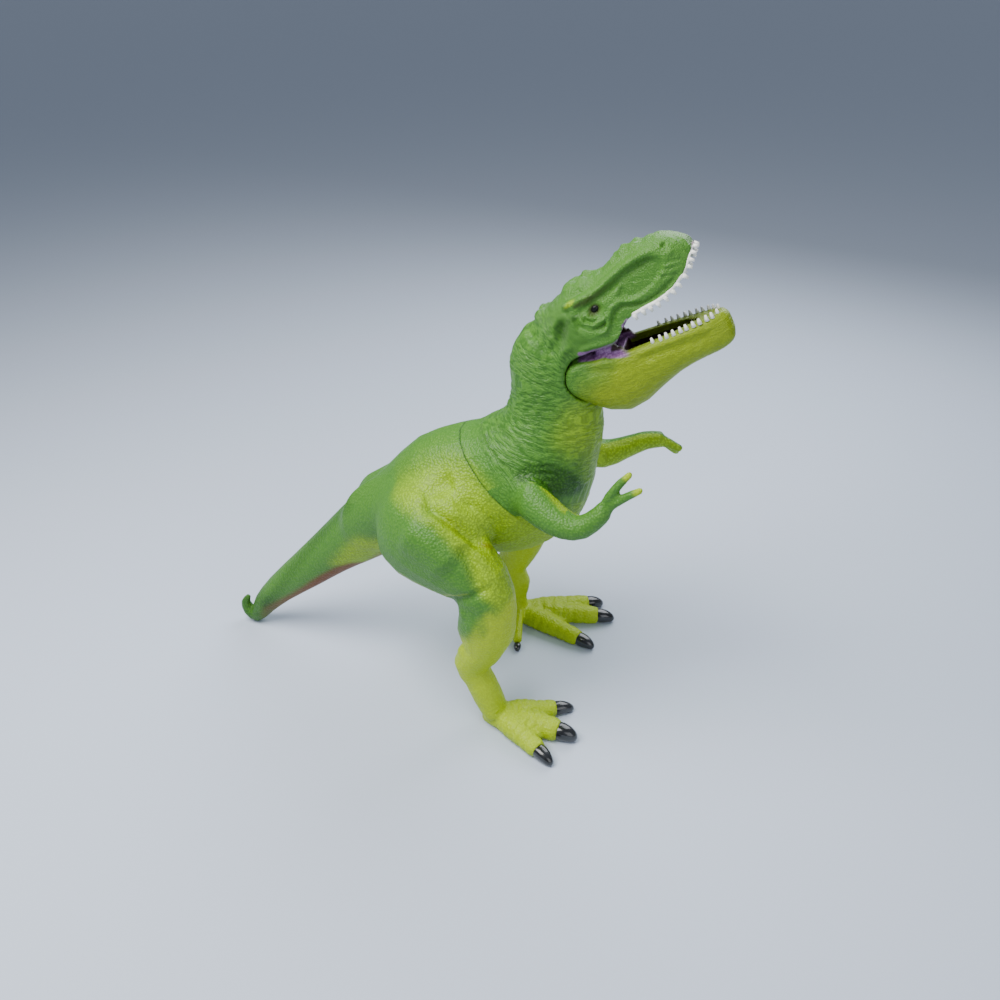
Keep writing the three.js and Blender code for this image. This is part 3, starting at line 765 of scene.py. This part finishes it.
# Outlines in the side view that the paint follows
zones = {
    "flank": [(-84, 97.5), (-80, 101), (-76.9, 103.4), (-73.3, 106.3), (-69, 108.6), (-64.8, 110.3),
        (-59.6, 111.4), (-54.7, 111.4), (-50.5, 110), (-47.9, 108.5), (-44.5, 106.5), (-42.6, 104.5),
        (-39, 102), (-35, 100), (-30, 98), (-24, 96), (-12, 92), (-10, 55), (-31, 58), (-37, 67),
        (-41.5, 70.3), (-43.4, 73.6), (-45.4, 77.5), (-47.6, 82.3), (-50.4, 85.6), (-53.2, 88.6),
        (-56.4, 91.4), (-60.6, 94.4), (-65, 96.2), (-69.7, 96.6), (-75, 96)],
    "tailRoot": [(-121, 46), (-117.8, 51), (-112.7, 58), (-108.6, 63), (-103, 66.5), (-98, 67), (-90, 68),
        (-84, 70), (-90, 55), (-100, 48), (-110, 42)],
    "tailUnder": [(-163, 8), (-160.9, 12), (-153, 17.6), (-144.5, 24), (-136, 31), (-127.5, 38.4),
        (-119.4, 44.5), (-112, 48), (-106, 48), (-98, 56), (-92, 60), (-92, 50), (-110, 30), (-130, 10),
        (-150, -4), (-165, -4)],
    "shoulder": [(-34.1, 111.4), (-32.8, 114.5), (-29.6, 117.4), (-24.9, 119.1), (-20.5, 118),
        (-15.9, 115.5), (-12.5, 111.9), (-10.3, 108), (-9.3, 103.8), (-11.4, 102), (-15.1, 103.1),
        (-17.2, 104), (-20, 106), (-23.6, 108), (-27.8, 110)],
    "nape": [(-34, 137), (-33, 141.6), (-30.7, 144.9), (-26.7, 144.2), (-23.6, 141.6), (-21.5, 137.2),
        (-23, 132.3), (-26, 131)],
    "throat": [(2, 147), (-6, 146), (-9.4, 144.5), (-13.6, 141.5), (-15.8, 139.8), (-18.3, 136.2),
        (-20.1, 132.4), (-21.2, 127.9), (-19.4, 123), (-16, 120.5), (-12, 117), (-10.5, 109), (-9, 100),
        (-16, 96), (-22, 92), (-10, 84), (5, 100), (8, 135)],
}
# Lines that shading and narrow bands of paint follow
paintLines = {
    "tailBand": [(-110, 0, 79), (-120, 0, 67), (-129.7, 0, 55), (-139, 0, 42), (-150, 0, 26),
        (-158, 0, 14)],
    "thighFold": [(-70, -30, 103.1), (-63.7, -33, 99.4), (-55, -34, 94.6), (-47, -33.5, 88.2),
        (-41, -30, 83.8)],
    "browGroove": [(-19, -12.5, 170), (-12.9, -12.5, 175), (-9.4, -12, 178.6), (-6.5, -11.1, 181),
        (-3.4, -10.2, 184.5), (-0.4, -9.5, 188), (3.3, -8.9, 191.4), (7.6, -8.4, 194)],
    "browRidge": [(-16, -12.5, 176.2), (-12.9, -12.5, 177.4), (-9.4, -12, 179.4), (-6.5, -11.1, 182),
        (-3.4, -10.2, 185), (-0.4, -9.5, 188.4), (3.3, -8.9, 191.8), (7.1, -8.6, 194.2)],
    "mouthRim": [(2.2, -10.2, 173), (1, -10.8, 171), (0.2, -10.5, 167), (-2.8, -11.2, 164.6),
        (-9.3, -12.8, 161.6), (-13, -13.2, 160)],
}
# How wide or strong something is along an axis or a line: places, and the values there
profiles = {
    "bodyHalf": ([0, 60, 80, 95, 110], [8, 12, 20, 27, 60]),
    "orangeAlong": ([-164, -150, -128, -108, -98], [0.35, 0.7, 1, 0.9, 0.6]),
    "armHalf": ([-36, -30, -18, -10], [23, 24, 25, 20]),
    "hollowHalf": ([0, 10, 18, 21], [8.5, 7.6, 6, 3]),
    "roofHalf": ([0, 10, 18, 21], [8.8, 7.8, 6.2, 4.2]),
    "grooveDark": ([-8, 2], [0.75, 0.4]),
    "browWide": ([0, 0.2, 0.45, 0.7, 1], [2.0, 3.4, 1.9, 1.1, 0.7]),
    "oliveAlong": ([0, 0.4, 0.7, 1], [0.85, 0.8, 0.5, 0.35]),
    "jawHalf": ([-2, 10, 20, 30, 34.5], [11.4, 10.4, 8.8, 6.6, 4.0]),
    "palateHalf": ([0, 4, 10, 15, 18, 20], [10.5, 8.4, 7.6, 6.8, 5.4, 2]),
}


# Marks for the pebbles, the neck's wrinkles and the seam line
def pebbleAndWrinkles(mesh):
    points = pointsOf(mesh)
    along, lift = spineOf(points)
    flat = mirrored(points)
    neck = smoothStep(along, 164, 184) * (1 - smoothStep(along, 234, 246)) * (np.abs(points[:, 1]) < 25)
    shoulder = sidePatch(points, zones["shoulder"], 2.5) * (np.abs(points[:, 1]) < 24)
    setMarks(mesh, wrinkle=neck * (1 - 0.75 * shoulder), fine=smoothStep(along, 232, 246), alongSpine=along,
             aroundSpine=np.degrees(np.arctan2(flat[:, 1], lift * 16)) * 0.3)
    c, s = cosSin(skin["seamTilt"])
    seamX, _, seamZ = skin["seamAt"]
    seamOff = np.abs((points[:, 2] - seamZ) * c - (points[:, 0] - seamX) * s)
    setMarks(mesh, seam=0.75 * (1 - smoothStep(seamOff, 0.1, 0.5)) * smoothStep(points[:, 2], 88, 108))
    return points, flat, along, lift


def paintRear(mesh):
    points, flat, along, lift = pebbleAndWrinkles(mesh)
    normals = normalsOf(mesh)
    x, y, z = points.T
    body = np.abs(y) < np.interp(z, *profiles["bodyHalf"])
    flank = sidePatch(points, zones["flank"], 3.5 + 7 * smoothStep(z, 92, 104))
    under = (1 - smoothStep(lift, -0.85, -0.5)) * smoothStep(x, -110, -92) * body
    inner = smoothStep(np.sign(y) * -normals[:, 1], -0.1, 0.5) * (1 - body)
    inner = inner * (1 - smoothStep(z, 74, 84)) * (x > -95)
    yellow = strongest(flank, under, sidePatch(points, zones["tailRoot"], 5.5), inner)
    shin = z - 52 - 0.9 * (x + 46) + 2.5 * waves(points, 9, 1)
    lime = (1 - smoothStep(shin, -9, 7)) * (x > -75) * (z < 80)
    thighUnder = smoothStep(-normals[:, 2], 0.25, 0.75) * smoothStep(z, 50, 60)
    thighUnder *= (z < 95) & (x > -92) & (np.abs(y) > 20)
    lime = np.maximum(lime, 0.6 * thighUnder)
    orange = sidePatch(points, zones["tailUnder"], 2.2)
    orange *= np.interp(x, *profiles["orangeAlong"])
    tailBand, _ = lineDistance(flat * [1, 0, 1], paintLines["tailBand"])
    dark = 0.5 * (1 - smoothStep(tailBand, 0.5, 5)) + 0.6 * (1 - smoothStep(along, 14, 30))
    fold, _ = lineDistance(flat, paintLines["thighFold"])
    shade = 0.8 * (1 - smoothStep(fold, 0.2, 3.0))
    setMarks(mesh, yellow=yellow, lime=lime, orange=orange, dark=dark, shade=shade)


def paintFront(mesh):
    points, flat, _, lift = pebbleAndWrinkles(mesh)
    normals = normalsOf(mesh)
    x, y, z = points.T
    onArm = (np.abs(y) > np.interp(x, *profiles["armHalf"])) & (z < 125)
    armInner = onArm * smoothStep(np.sign(y) * -normals[:, 1] + 0.5 * (x < -12), 0.1, 0.5)
    horn = dabMask(points, (-18.2, -10.8, 176.6), (3.4, 3, 1.3), turn=42, edge=0.3)
    yellow = strongest(sidePatch(points, zones["flank"], 8) * ~onArm,
                       0.62 * sidePatch(points, zones["throat"], 8) * ~onArm, armInner, horn * 0.9)
    # Darker along the brow groove and in the temple hollow behind the eye is painted shade
    groove, _ = lineDistance(flat, paintLines["browGroove"])
    dark = strongest(sidePatch(points, zones["shoulder"], 2.2) * ~onArm,
                     0.45 * sidePatch(points, zones["nape"], 4),
                     np.interp(x, *profiles["grooveDark"]) * (1 - smoothStep(groove, 0.3, 2.0)),
                     0.8 * dabMask(points, (-20.3, -13, 167.4), (4, 5, 6.6), edge=0.35))
    tips = [dabMask(points, finger[-1][0], (4, 4, 4), edge=0.3) for finger in hand["fingers"]]
    # The mouth's paint: the head's hollow, the cut under the lip and the roof between the teeth
    pocket = (np.abs(y) < 9.4) & (x > -14) & (z > 150) & (z < 169) & (lift < 0.55)
    pocket |= clipped & (np.abs(y) < np.interp(x, *profiles["hollowHalf"])) & (x < 19.6)
    lipAway, _ = lineDistance(points * [1, 0, 1], [(a, 0, b) for a, b in lip["curve"]])
    roof = (lipAway < 2.6) & (normals @ np.array([0.65, 0, -0.76]) > 0.45) & (z > 163) & (z < 197.4)
    pocket |= roof & (np.abs(y) < np.interp(x, *profiles["roofHalf"]))
    rim, _ = lineDistance(flat, paintLines["mouthRim"])
    # Painted shade: a dark olive band under the brow ridge, fading towards the snout, and around each eye in
    # its socket
    brow, along = lineDistance(flat, paintLines["browRidge"])
    wide = np.interp(along, *profiles["browWide"])
    olive = np.interp(along, *profiles["oliveAlong"]) * (1 - smoothStep(brow / wide, 0.2, 1.1))
    socket = dabMask(points, (eyeX, -12, eyeZ), (3.4, 5, 2.7), head["eyeLean"], 0.5)
    setMarks(mesh, lime=0.8 * np.maximum(*tips), yellow=yellow, purple=1 - smoothStep(rim, 0.5, 1.3),
             olive=np.maximum(olive, 0.8 * socket), dark=dark, mouth=pocket)


paintRear(rearMesh)
paintFront(frontMesh)

# The dark olive colour below is painted shade, under the brow ridge and around the eyes
vinyl = {
    "greenTop": rgb(78, 128, 42), "greenPit": rgb(66, 116, 36), "yellowTop": rgb(142, 180, 0),
    "yellowPit": rgb(118, 150, 0), "limeTop": rgb(164, 190, 0), "limePit": rgb(154, 178, 0),
    "darkTop": rgb(56, 102, 22), "darkPit": rgb(34, 76, 12), "orange": rgb(104, 56, 0),
    "mouth": rgb(44, 20, 18), "purple": rgb(120, 74, 128), "palePurple": rgb(160, 122, 168),
    "jawTop": rgb(132, 156, 0), "jawPit": rgb(116, 138, 0), "shade": rgb(104, 112, 0),
    "olive": rgb(50, 64, 8), "pebble": 0.95, "fineShare": 0.7, "scatter": 0.5, "grainScale": 1500.0,
    "strayScale": 700.0, "cloudScale": 70.0, "roughness": 0.38, "bump": 0.62, "relief": 0.5,
    "wrinkleGroove": 0.5, "specular": 0.3,
}


def skinMaterial(name, markNames, yellow="yellow"):
    material, sock, shader = newMaterial(name)
    where = sock.node("ShaderNodeTexCoord", take=3)
    marks = {mark: readMark(sock, mark) for mark in markNames}
    grain = noise(sock, vinyl["grainScale"])
    stray = noise(sock, vinyl["strayScale"], take=1)
    size = 1000 / vinyl["pebble"] * (1 + marks["fine"] * vinyl["fineShare"])
    spot = where.timesPlus(size, stray.scaled(vinyl["scatter"]))
    cells = sock.node("ShaderNodeTexVoronoi", {"Vector": spot, "Scale": 1.0, "Smoothness": 0.3},
                      feature="SMOOTH_F1")
    cloud = noise(sock, vinyl["cloudScale"], 3.0)
    pebble = (1 - cells * 1.25) * 0.75 + grain * 0.3
    flow = sock.node("ShaderNodeCombineXYZ", {"X": marks["alongSpine"] * 1.25 + cloud * 2.4,
                                              "Y": marks["aroundSpine"] * 0.28, "Z": 0.0})
    folds = sock.node("ShaderNodeTexNoise", {"Vector": flow, "Scale": 1.0, "Detail": 2.0, "Roughness": 0.6})
    height = marks["wrinkle"].mixedNumber(pebble, folds.between(0.36, 0.64) * 0.5 + pebble * 0.4)
    height = (marks["fine"] * 0.15).mixedNumber(height, grain * 0.5 + 0.28)
    tops = height.between(0.28, 0.72)
    colour = tops.mixed(vinyl["greenPit"], vinyl["greenTop"])
    groove = (1 - height.between(0.1, 0.5)) * marks["wrinkle"] * vinyl["wrinkleGroove"]
    colour = groove.mixed(colour, vinyl["darkPit"])
    edge = (cloud - 0.5) * 0.3 + (tops - 0.5) * 0.06
    for mark, pit, top in (("yellow", yellow + "Pit", yellow + "Top"), ("lime", "limePit", "limeTop"),
                           ("dark", "darkPit", "darkTop"), ("orange", "orange", "orange"),
                           ("purple", "purple", "palePurple"), ("mouth", "mouth", "mouth"),
                           ("seam", "darkPit", "darkPit"), ("shade", "shade", "shade"),
                           ("olive", "olive", "olive")):
        if mark in marks:
            amount = marks[mark]
            if mark != "mouth":
                amount += edge * amount * (1 - amount) * 4
            colour = amount.between(0.0, 1.0).mixed(colour, tops.mixed(vinyl[pit], vinyl[top]))
    bump = sock.node("ShaderNodeBump", {"Strength": vinyl["bump"], "Distance": vinyl["relief"] * mm,
                                        "Height": height})
    sock.wire(shader, {"Base Color": colour, "Roughness": vinyl["roughness"] + grain * 0.12, "Normal": bump,
                       "Specular IOR Level": vinyl["specular"]})
    return material


# Two colours mixed by a fine noise, which also varies the roughness
def speckled(name, look):
    material, sock, shader = newMaterial(name)
    speck = noise(sock, look["scale"], look["detail"])
    colour = speck.between(*look["range"]).mixed(*look["colours"])
    if "palate" in look:
        colour = readMark(sock, "palate").mixed(colour, look["palate"])
    rough = look["roughness"] + speck * look["vary"]
    sock.wire(shader, {"Base Color": colour, "Roughness": rough, **look["more"]})
    return material


def finish(piece, material, body, slot, *replaced):
    mesh = piece.data
    mesh.materials.clear()
    mesh.materials.append(material)
    mesh.polygons.foreach_set("use_smooth", np.ones(len(mesh.polygons), dtype=bool))
    mesh.update()
    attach(piece, body)
    if replaced:
        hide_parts(*replaced)


skinMarks = [
    "wrinkle", "alongSpine", "aroundSpine", "yellow", "lime", "dark", "orange", "mouth", "seam", "fine",
    "shade", "purple", "olive",
]
skinPaint = skinMaterial("skinPaint", skinMarks)
finish(newObject("rear_skin", rearMesh), skinPaint, "figure", "belly_vinyl",
       "rear_shell", "right_leg", "left_leg")
finish(newObject("front_skin", frontMesh), skinPaint, "figure", "back_vinyl",
       "front_shell", "right_arm", "left_arm")
print("skins painted")

# Lower jaw
jaw = {
    "voxel": 0.45, "rimTilt": 27, "rimHeight": 4.7, "trimAhead": 16.5, "smoothRounds": 5, "rearSwell": 0.5,
    "plateReach": 14.6, "plateHalf": 10.6,
}
bm = copyOf({"lower_jaw": 0})
rimCos, rimSin = cosSin(jaw["rimTilt"])
rimUp = Vector((-rimSin, 0, rimCos))
pivot = (pinLow + pinHigh) / 2
# The CAD's teeth are pressed down into the rim, where a separate row takes their place
for v in bm.verts:
    rise = (v.co - pivot).dot(rimUp) - jaw["rimHeight"] * mm
    ahead = (v.co - pivot).dot(Vector((rimUp.z, 0, -rimUp.x)))
    if rise > 0 and ahead > jaw["trimAhead"] * mm:
        v.co -= rimUp * rise
jawMesh = meshOf("jaw", largestIsland(remeshed(fromBmesh("jawBlank", bm), jaw["voxel"])))
points, edges = pointsOf(jawMesh), edgesOf(jawMesh)
points = relax(points, edges, np.full(len(points), 0.5), jaw["smoothRounds"])
setPoints(jawMesh, points)
normals = normalsOf(jawMesh)
jawStrokes = [
    ([(8.7, -9.6, 164.9), (14.3, -9.3, 166.9), (20.1, -8.8, 168.9), (27.9, -7, 172.4),
      (32.4, -4.4, 174.4)], 0.5, 0.7),
    ([(0.7, -11.4, 157.6), (-6, -12, 156.6), (-11, -12.6, 155.6), (-15, -12.8, 153),
      (-17, -13, 148)], 0.8, 1.6),
    ([(2, -11.4, 155.4), (-6, -12.6, 154), (-11.5, -13, 152.4)], -0.5, 1.5),
    ([(4.2, -10.8, 160), (8, -10.2, 161.8), (13.6, -9.6, 164.6), (21.5, -8.4, 168.3), (28, -7, 171),
      (33.6, -4.6, 173.4)], 0.5, 1),
    ([(5, -11.4, 157.5), (12.3, -10.2, 161.2), (22.2, -8.8, 165.4), (31.8, -6.2, 169.6)], -0.5, 1.5),
]
for row in jawStrokes:
    stroke(points, normals, *row)
# The round rear swells towards the neck, and the cheek plates' tops keep clear of the head's hollow
radius = np.hypot(points[:, 0] - pinX, points[:, 2] - pinZ)
rear = smoothStep(radius, 14, 15.5) * (points[:, 0] < -4) * (1 - smoothStep(points[:, 2], 157, 160))
points += normals * (jaw["rearSwell"] * rear)[:, None]
x, y, z = points[:, 0], np.abs(points[:, 1]), points[:, 2]  # x and z are columns of points itself
radius = np.hypot(x - pinX, z - pinZ)
plates = (z > 160) & (x < 0) & (y < jaw["plateHalf"])
over = np.where(plates, np.maximum(radius - jaw["plateReach"], 0), 0) / radius
x -= over * (x - pinX)
z -= over * (z - pinZ)
setPoints(jawMesh, points)
rise = (x - pinX) * rimUp.x + (z - pinZ) * rimUp.z - jaw["rimHeight"]
radius = np.hypot(x - pinX, z - pinZ)
halfWide = np.interp(x, *profiles["jawHalf"])
inTrough = (rise < -0.4) & (y < halfWide - 1.8) & (rise > -7) & (x > -2) & (x < 31)
inTrough &= normals[:, 0] * rimUp.x + normals[:, 2] * rimUp.z > -0.3
mouth = smoothStep(spread(inTrough, edges), 0.3, 0.7)
border = radius + 0.5 * waves(points, 6, 44)
purple = ((1 - smoothStep(y, 10.7, 11.2)) * (1 - smoothStep(border, 13.8, 17.2))
          * smoothStep(rise, -2.2, -0.6) * smoothStep(x, -15, -13))
deep = (purple > 0.5) & (rise > 2.6 - 0.12 * (x - pinX)) & (x > -3)
setMarks(jawMesh, fine=np.ones(len(points)), wrinkle=0.75 * (mouth < 0.1),
         alongSpine=rise * 1.1 + 0.5 * waves(points, 11, 21),
         aroundSpine=((x - pinX) * rimUp.z - (z - pinZ) * rimUp.x) * 1.3 + y * 0.8,
         mouth=np.maximum(mouth, spread(deep, edges)), purple=spread(purple, edges),
         yellow=0.1 + 0.9 * smoothStep(x + 0.6 * (pinZ - z) - 2 * waves(points, 12, 31), -18, 4))
jawMarks = ["wrinkle", "alongSpine", "aroundSpine", "yellow", "mouth", "purple", "fine"]
jawPaint = skinMaterial("jawPaint", jawMarks, yellow="jaw")
finish(newObject("jaw_skin", jawMesh), jawPaint, "jaw", "jaw_vinyl", "lower_jaw")
print("jaw shaped")


# Teeth, gum strip, claws, eyes and pin
teeth = {
    "upper": [(4.8, -10.4, 174.3), (7.4, -10.2, 176.1), (9.6, -9.9, 177.5), (12, -9.5, 179),
        (14.3, -8.9, 181), (16.4, -8.3, 183.3), (17.9, -7.9, 185.7), (19.6, -7.4, 188.6),
        (20.7, -6.7, 191.7), (21, -5.8, 193.8), (21.3, -4.2, 195.8), (21.4, -1.6, 197.2)],
    "upperHeight": 2.3, "upperHalf": 1.02, "upperTip": 0.42, "sides": 10, "lean": 0.12,
    "wideTeeth": 8, "frontSize": 0.75, "gumHalf": 0.8, "gumFrontHalf": 0.56, "gumSink": 1.2, "gumInset": 0.15,
    "gumVoxel": 0.32, "gumRounds": 2, "gumFront": (20.2, 0, 197.6),
    "lower": [(24.4, 8.6), (27.3, 8.5), (29.5, 8.3), (31.9, 8), (34.4, 7.6), (36.4, 7.2), (38.9, 6.7),
        (41, 6.1), (43.4, 5.2), (45.2, 4.2), (47, 2.4)],
    "lowerHeight": 2.1, "lowerHalf": 0.86, "lowerTip": 0.36, "lowerRise": 5.2,
}
toothLook = {
    "scale": 900.0, "detail": 2.0, "range": (0.35, 0.7),
    "colours": (rgb(228, 230, 220), rgb(248, 249, 246)), "palate": rgb(78, 40, 52), "roughness": 0.32,
    "vary": 0.1, "more": {},
}


def addTooth(bm, centre, heading, height, half, tip):
    turn = Vector((0, 0, 1)).rotation_difference(Vector(heading)).to_matrix().to_4x4()
    bmesh.ops.create_cone(bm, cap_ends=True, segments=teeth["sides"], radius1=half * mm, radius2=tip * mm,
                          depth=height * mm, matrix=Matrix.Translation(place(*centre)) @ turn)


# The upper teeth and their white gum band follow the curved lip; each tooth points square away from it
teethBm = bmesh.new()
gumBm = copyOf({"upper_teeth": 0})
rows = rowsOf(gumBm)
clipTo(rows, lip["curve"], -0.5)
for v, row in zip(gumBm.verts, rows):
    v.co = place(*row)
upper = np.array(teeth["upper"])
sink = teeth["gumSink"]
for side in (-1, 1):
    roots = []
    for n, (x, y, z) in enumerate(upper):
        before, after = upper[max(n - 1, 0)], upper[min(n + 1, len(upper) - 1)]
        along = (after - before)[[0, 2]] / np.linalg.norm((after - before)[[0, 2]])
        heading = Vector((along[1], -teeth["lean"] * side, -along[0])).normalized()
        size = 1 if n < teeth["wideTeeth"] else teeth["frontSize"]
        height, half = teeth["upperHeight"] * size, teeth["upperHalf"] * size
        addTooth(teethBm, (x, -y * side, z), heading, height, half, teeth["upperTip"])
        roots.append((x - heading.x * sink, (teeth["gumInset"] - y) * side, z - heading.z * sink))
    roots.append(teeth["gumFront"])
    for n, (near, far) in enumerate(zip(roots[:-1], roots[1:])):
        half = teeth["gumHalf"] if n < 7 else teeth["gumFrontHalf"]
        addTo(gumBm, ballHull([(near, half), (far, half)]))
gumMesh = remeshed(fromBmesh("gumBlank", gumBm), teeth["gumVoxel"])
edges = edgesOf(gumMesh)
points = relax(pointsOf(gumMesh), edges, np.full(len(gumMesh.vertices), 0.4), teeth["gumRounds"])
setPoints(gumMesh, points)
palateHalf = np.interp(points[:, 0], *profiles["palateHalf"])
setMarks(gumMesh, palate=spread(np.abs(points[:, 1]) < palateHalf, edges))
toothPaint = speckled("toothPaint", toothLook)
finish(newObject("gum_strip", gumMesh), toothPaint, "figure", "tooth_vinyl", "upper_teeth")
finish(fromBmesh("upper_tooth_row", teethBm), toothPaint, "figure", "tooth_vinyl")
bm = bmesh.new()
for ahead, wide in teeth["lower"]:
    for side in (-1, 1):
        centre = (pinX + ahead * rimCos - teeth["lowerRise"] * rimSin, side * wide,
                  pinZ + ahead * rimSin + teeth["lowerRise"] * rimCos)
        addTooth(bm, centre, rimUp, teeth["lowerHeight"], teeth["lowerHalf"], teeth["lowerTip"])
finish(fromBmesh("lower_tooth_row", bm), toothPaint, "jaw", "tooth_vinyl")

# Claws: how far the tip stands past the toe's end, half the length, half the width and the tip's droop
claws = {
    "toe": {"tip": 8, "ahead": 7.0, "half": 3.75, "droop": 1.3},
    "spur": {"tip": 0.2, "ahead": 2.6, "half": 1.75, "droop": 0.4},
}
clawLook = {
    "scale": 260.0, "detail": 3.0, "range": (0.3, 0.8), "colours": (rgb(10, 11, 12), rgb(38, 40, 44)),
    "roughness": 0.16, "vary": 0.12, "more": {"Coat Weight": 0.5},
}


# An egg whose widest place sits just past the toe's end, with a drooping tip
def clawMesh(bm, foot, turn, reach, claw, slim=1):
    ahead, half = claw["ahead"], claw["half"] * slim
    made = bmesh.ops.create_uvsphere(bm, u_segments=24, v_segments=16, radius=1.0)
    turned = Matrix.Rotation(math.radians(turn), 3, "Z")
    for v in made["verts"]:
        boxy = Vector((v.co.x, *(math.copysign(abs(c) ** 0.85, c) for c in v.co.yz)))
        front = max(v.co.x, 0)
        local = Vector((reach + claw["tip"] - ahead + boxy.x * ahead, boxy.y * half * (1 - 0.15 * front),
                        boxy.z * half * (0.95 if boxy.z > 0 else 0.9)))
        local.z += half * 0.92 - claw["droop"] * front ** 2
        v.co = place(*(turned @ local + Vector((*foot["ankle"], 0))))


bm = bmesh.new()
for foot in feet.values():
    for turn, reach, slim in foot["toes"]:
        clawMesh(bm, foot, turn, reach, claws["toe"], slim)
    clawMesh(bm, foot, *foot["spur"], claws["spur"])
for v in bm.verts:
    v.co.z = max(v.co.z, 0.02 * mm)
finish(fromBmesh("claws", bm), speckled("glossBlack", clawLook), "figure", "leg_vinyl")

bm = bmesh.new()
for side in (-1, 1):
    size = Matrix.Diagonal((*(half * mm for half in head["eyeHalf"]), 1))
    leaning = Matrix.Rotation(-math.radians(head["eyeLean"]), 4, "Y")
    spot = Matrix.Translation(place(eyeX, side * eyeY, eyeZ)) @ leaning
    bmesh.ops.create_uvsphere(bm, u_segments=24, v_segments=16, radius=1.0, matrix=spot @ size)
eyeLook = {
    "scale": 500.0, "detail": 2.0, "range": (0.3, 0.8), "colours": (rgb(4, 5, 4), rgb(14, 16, 12)),
    "roughness": 0.3, "vary": 0.1, "more": {"Specular IOR Level": 0.3},
}
finish(fromBmesh("eyes", bm), speckled("eyeBlack", eyeLook), "figure", "back_vinyl")

steel = {"colour": rgb(176, 178, 182), "drawnScale": 1500.0, "roughness": 0.3, "vary": 0.15}
pinSteel, sock, shader = newMaterial("pinSteel")
drawn = noise(sock, steel["drawnScale"])
rough = steel["roughness"] + drawn * steel["vary"]
sock.wire(shader, {"Base Color": steel["colour"], "Metallic": 1.0, "Roughness": rough})
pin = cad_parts["jaw_pin"]
if pin.material_slots:
    pin.material_slots[0].material = pinSteel
else:
    pin.data.materials.append(pinSteel)
print("small parts made")
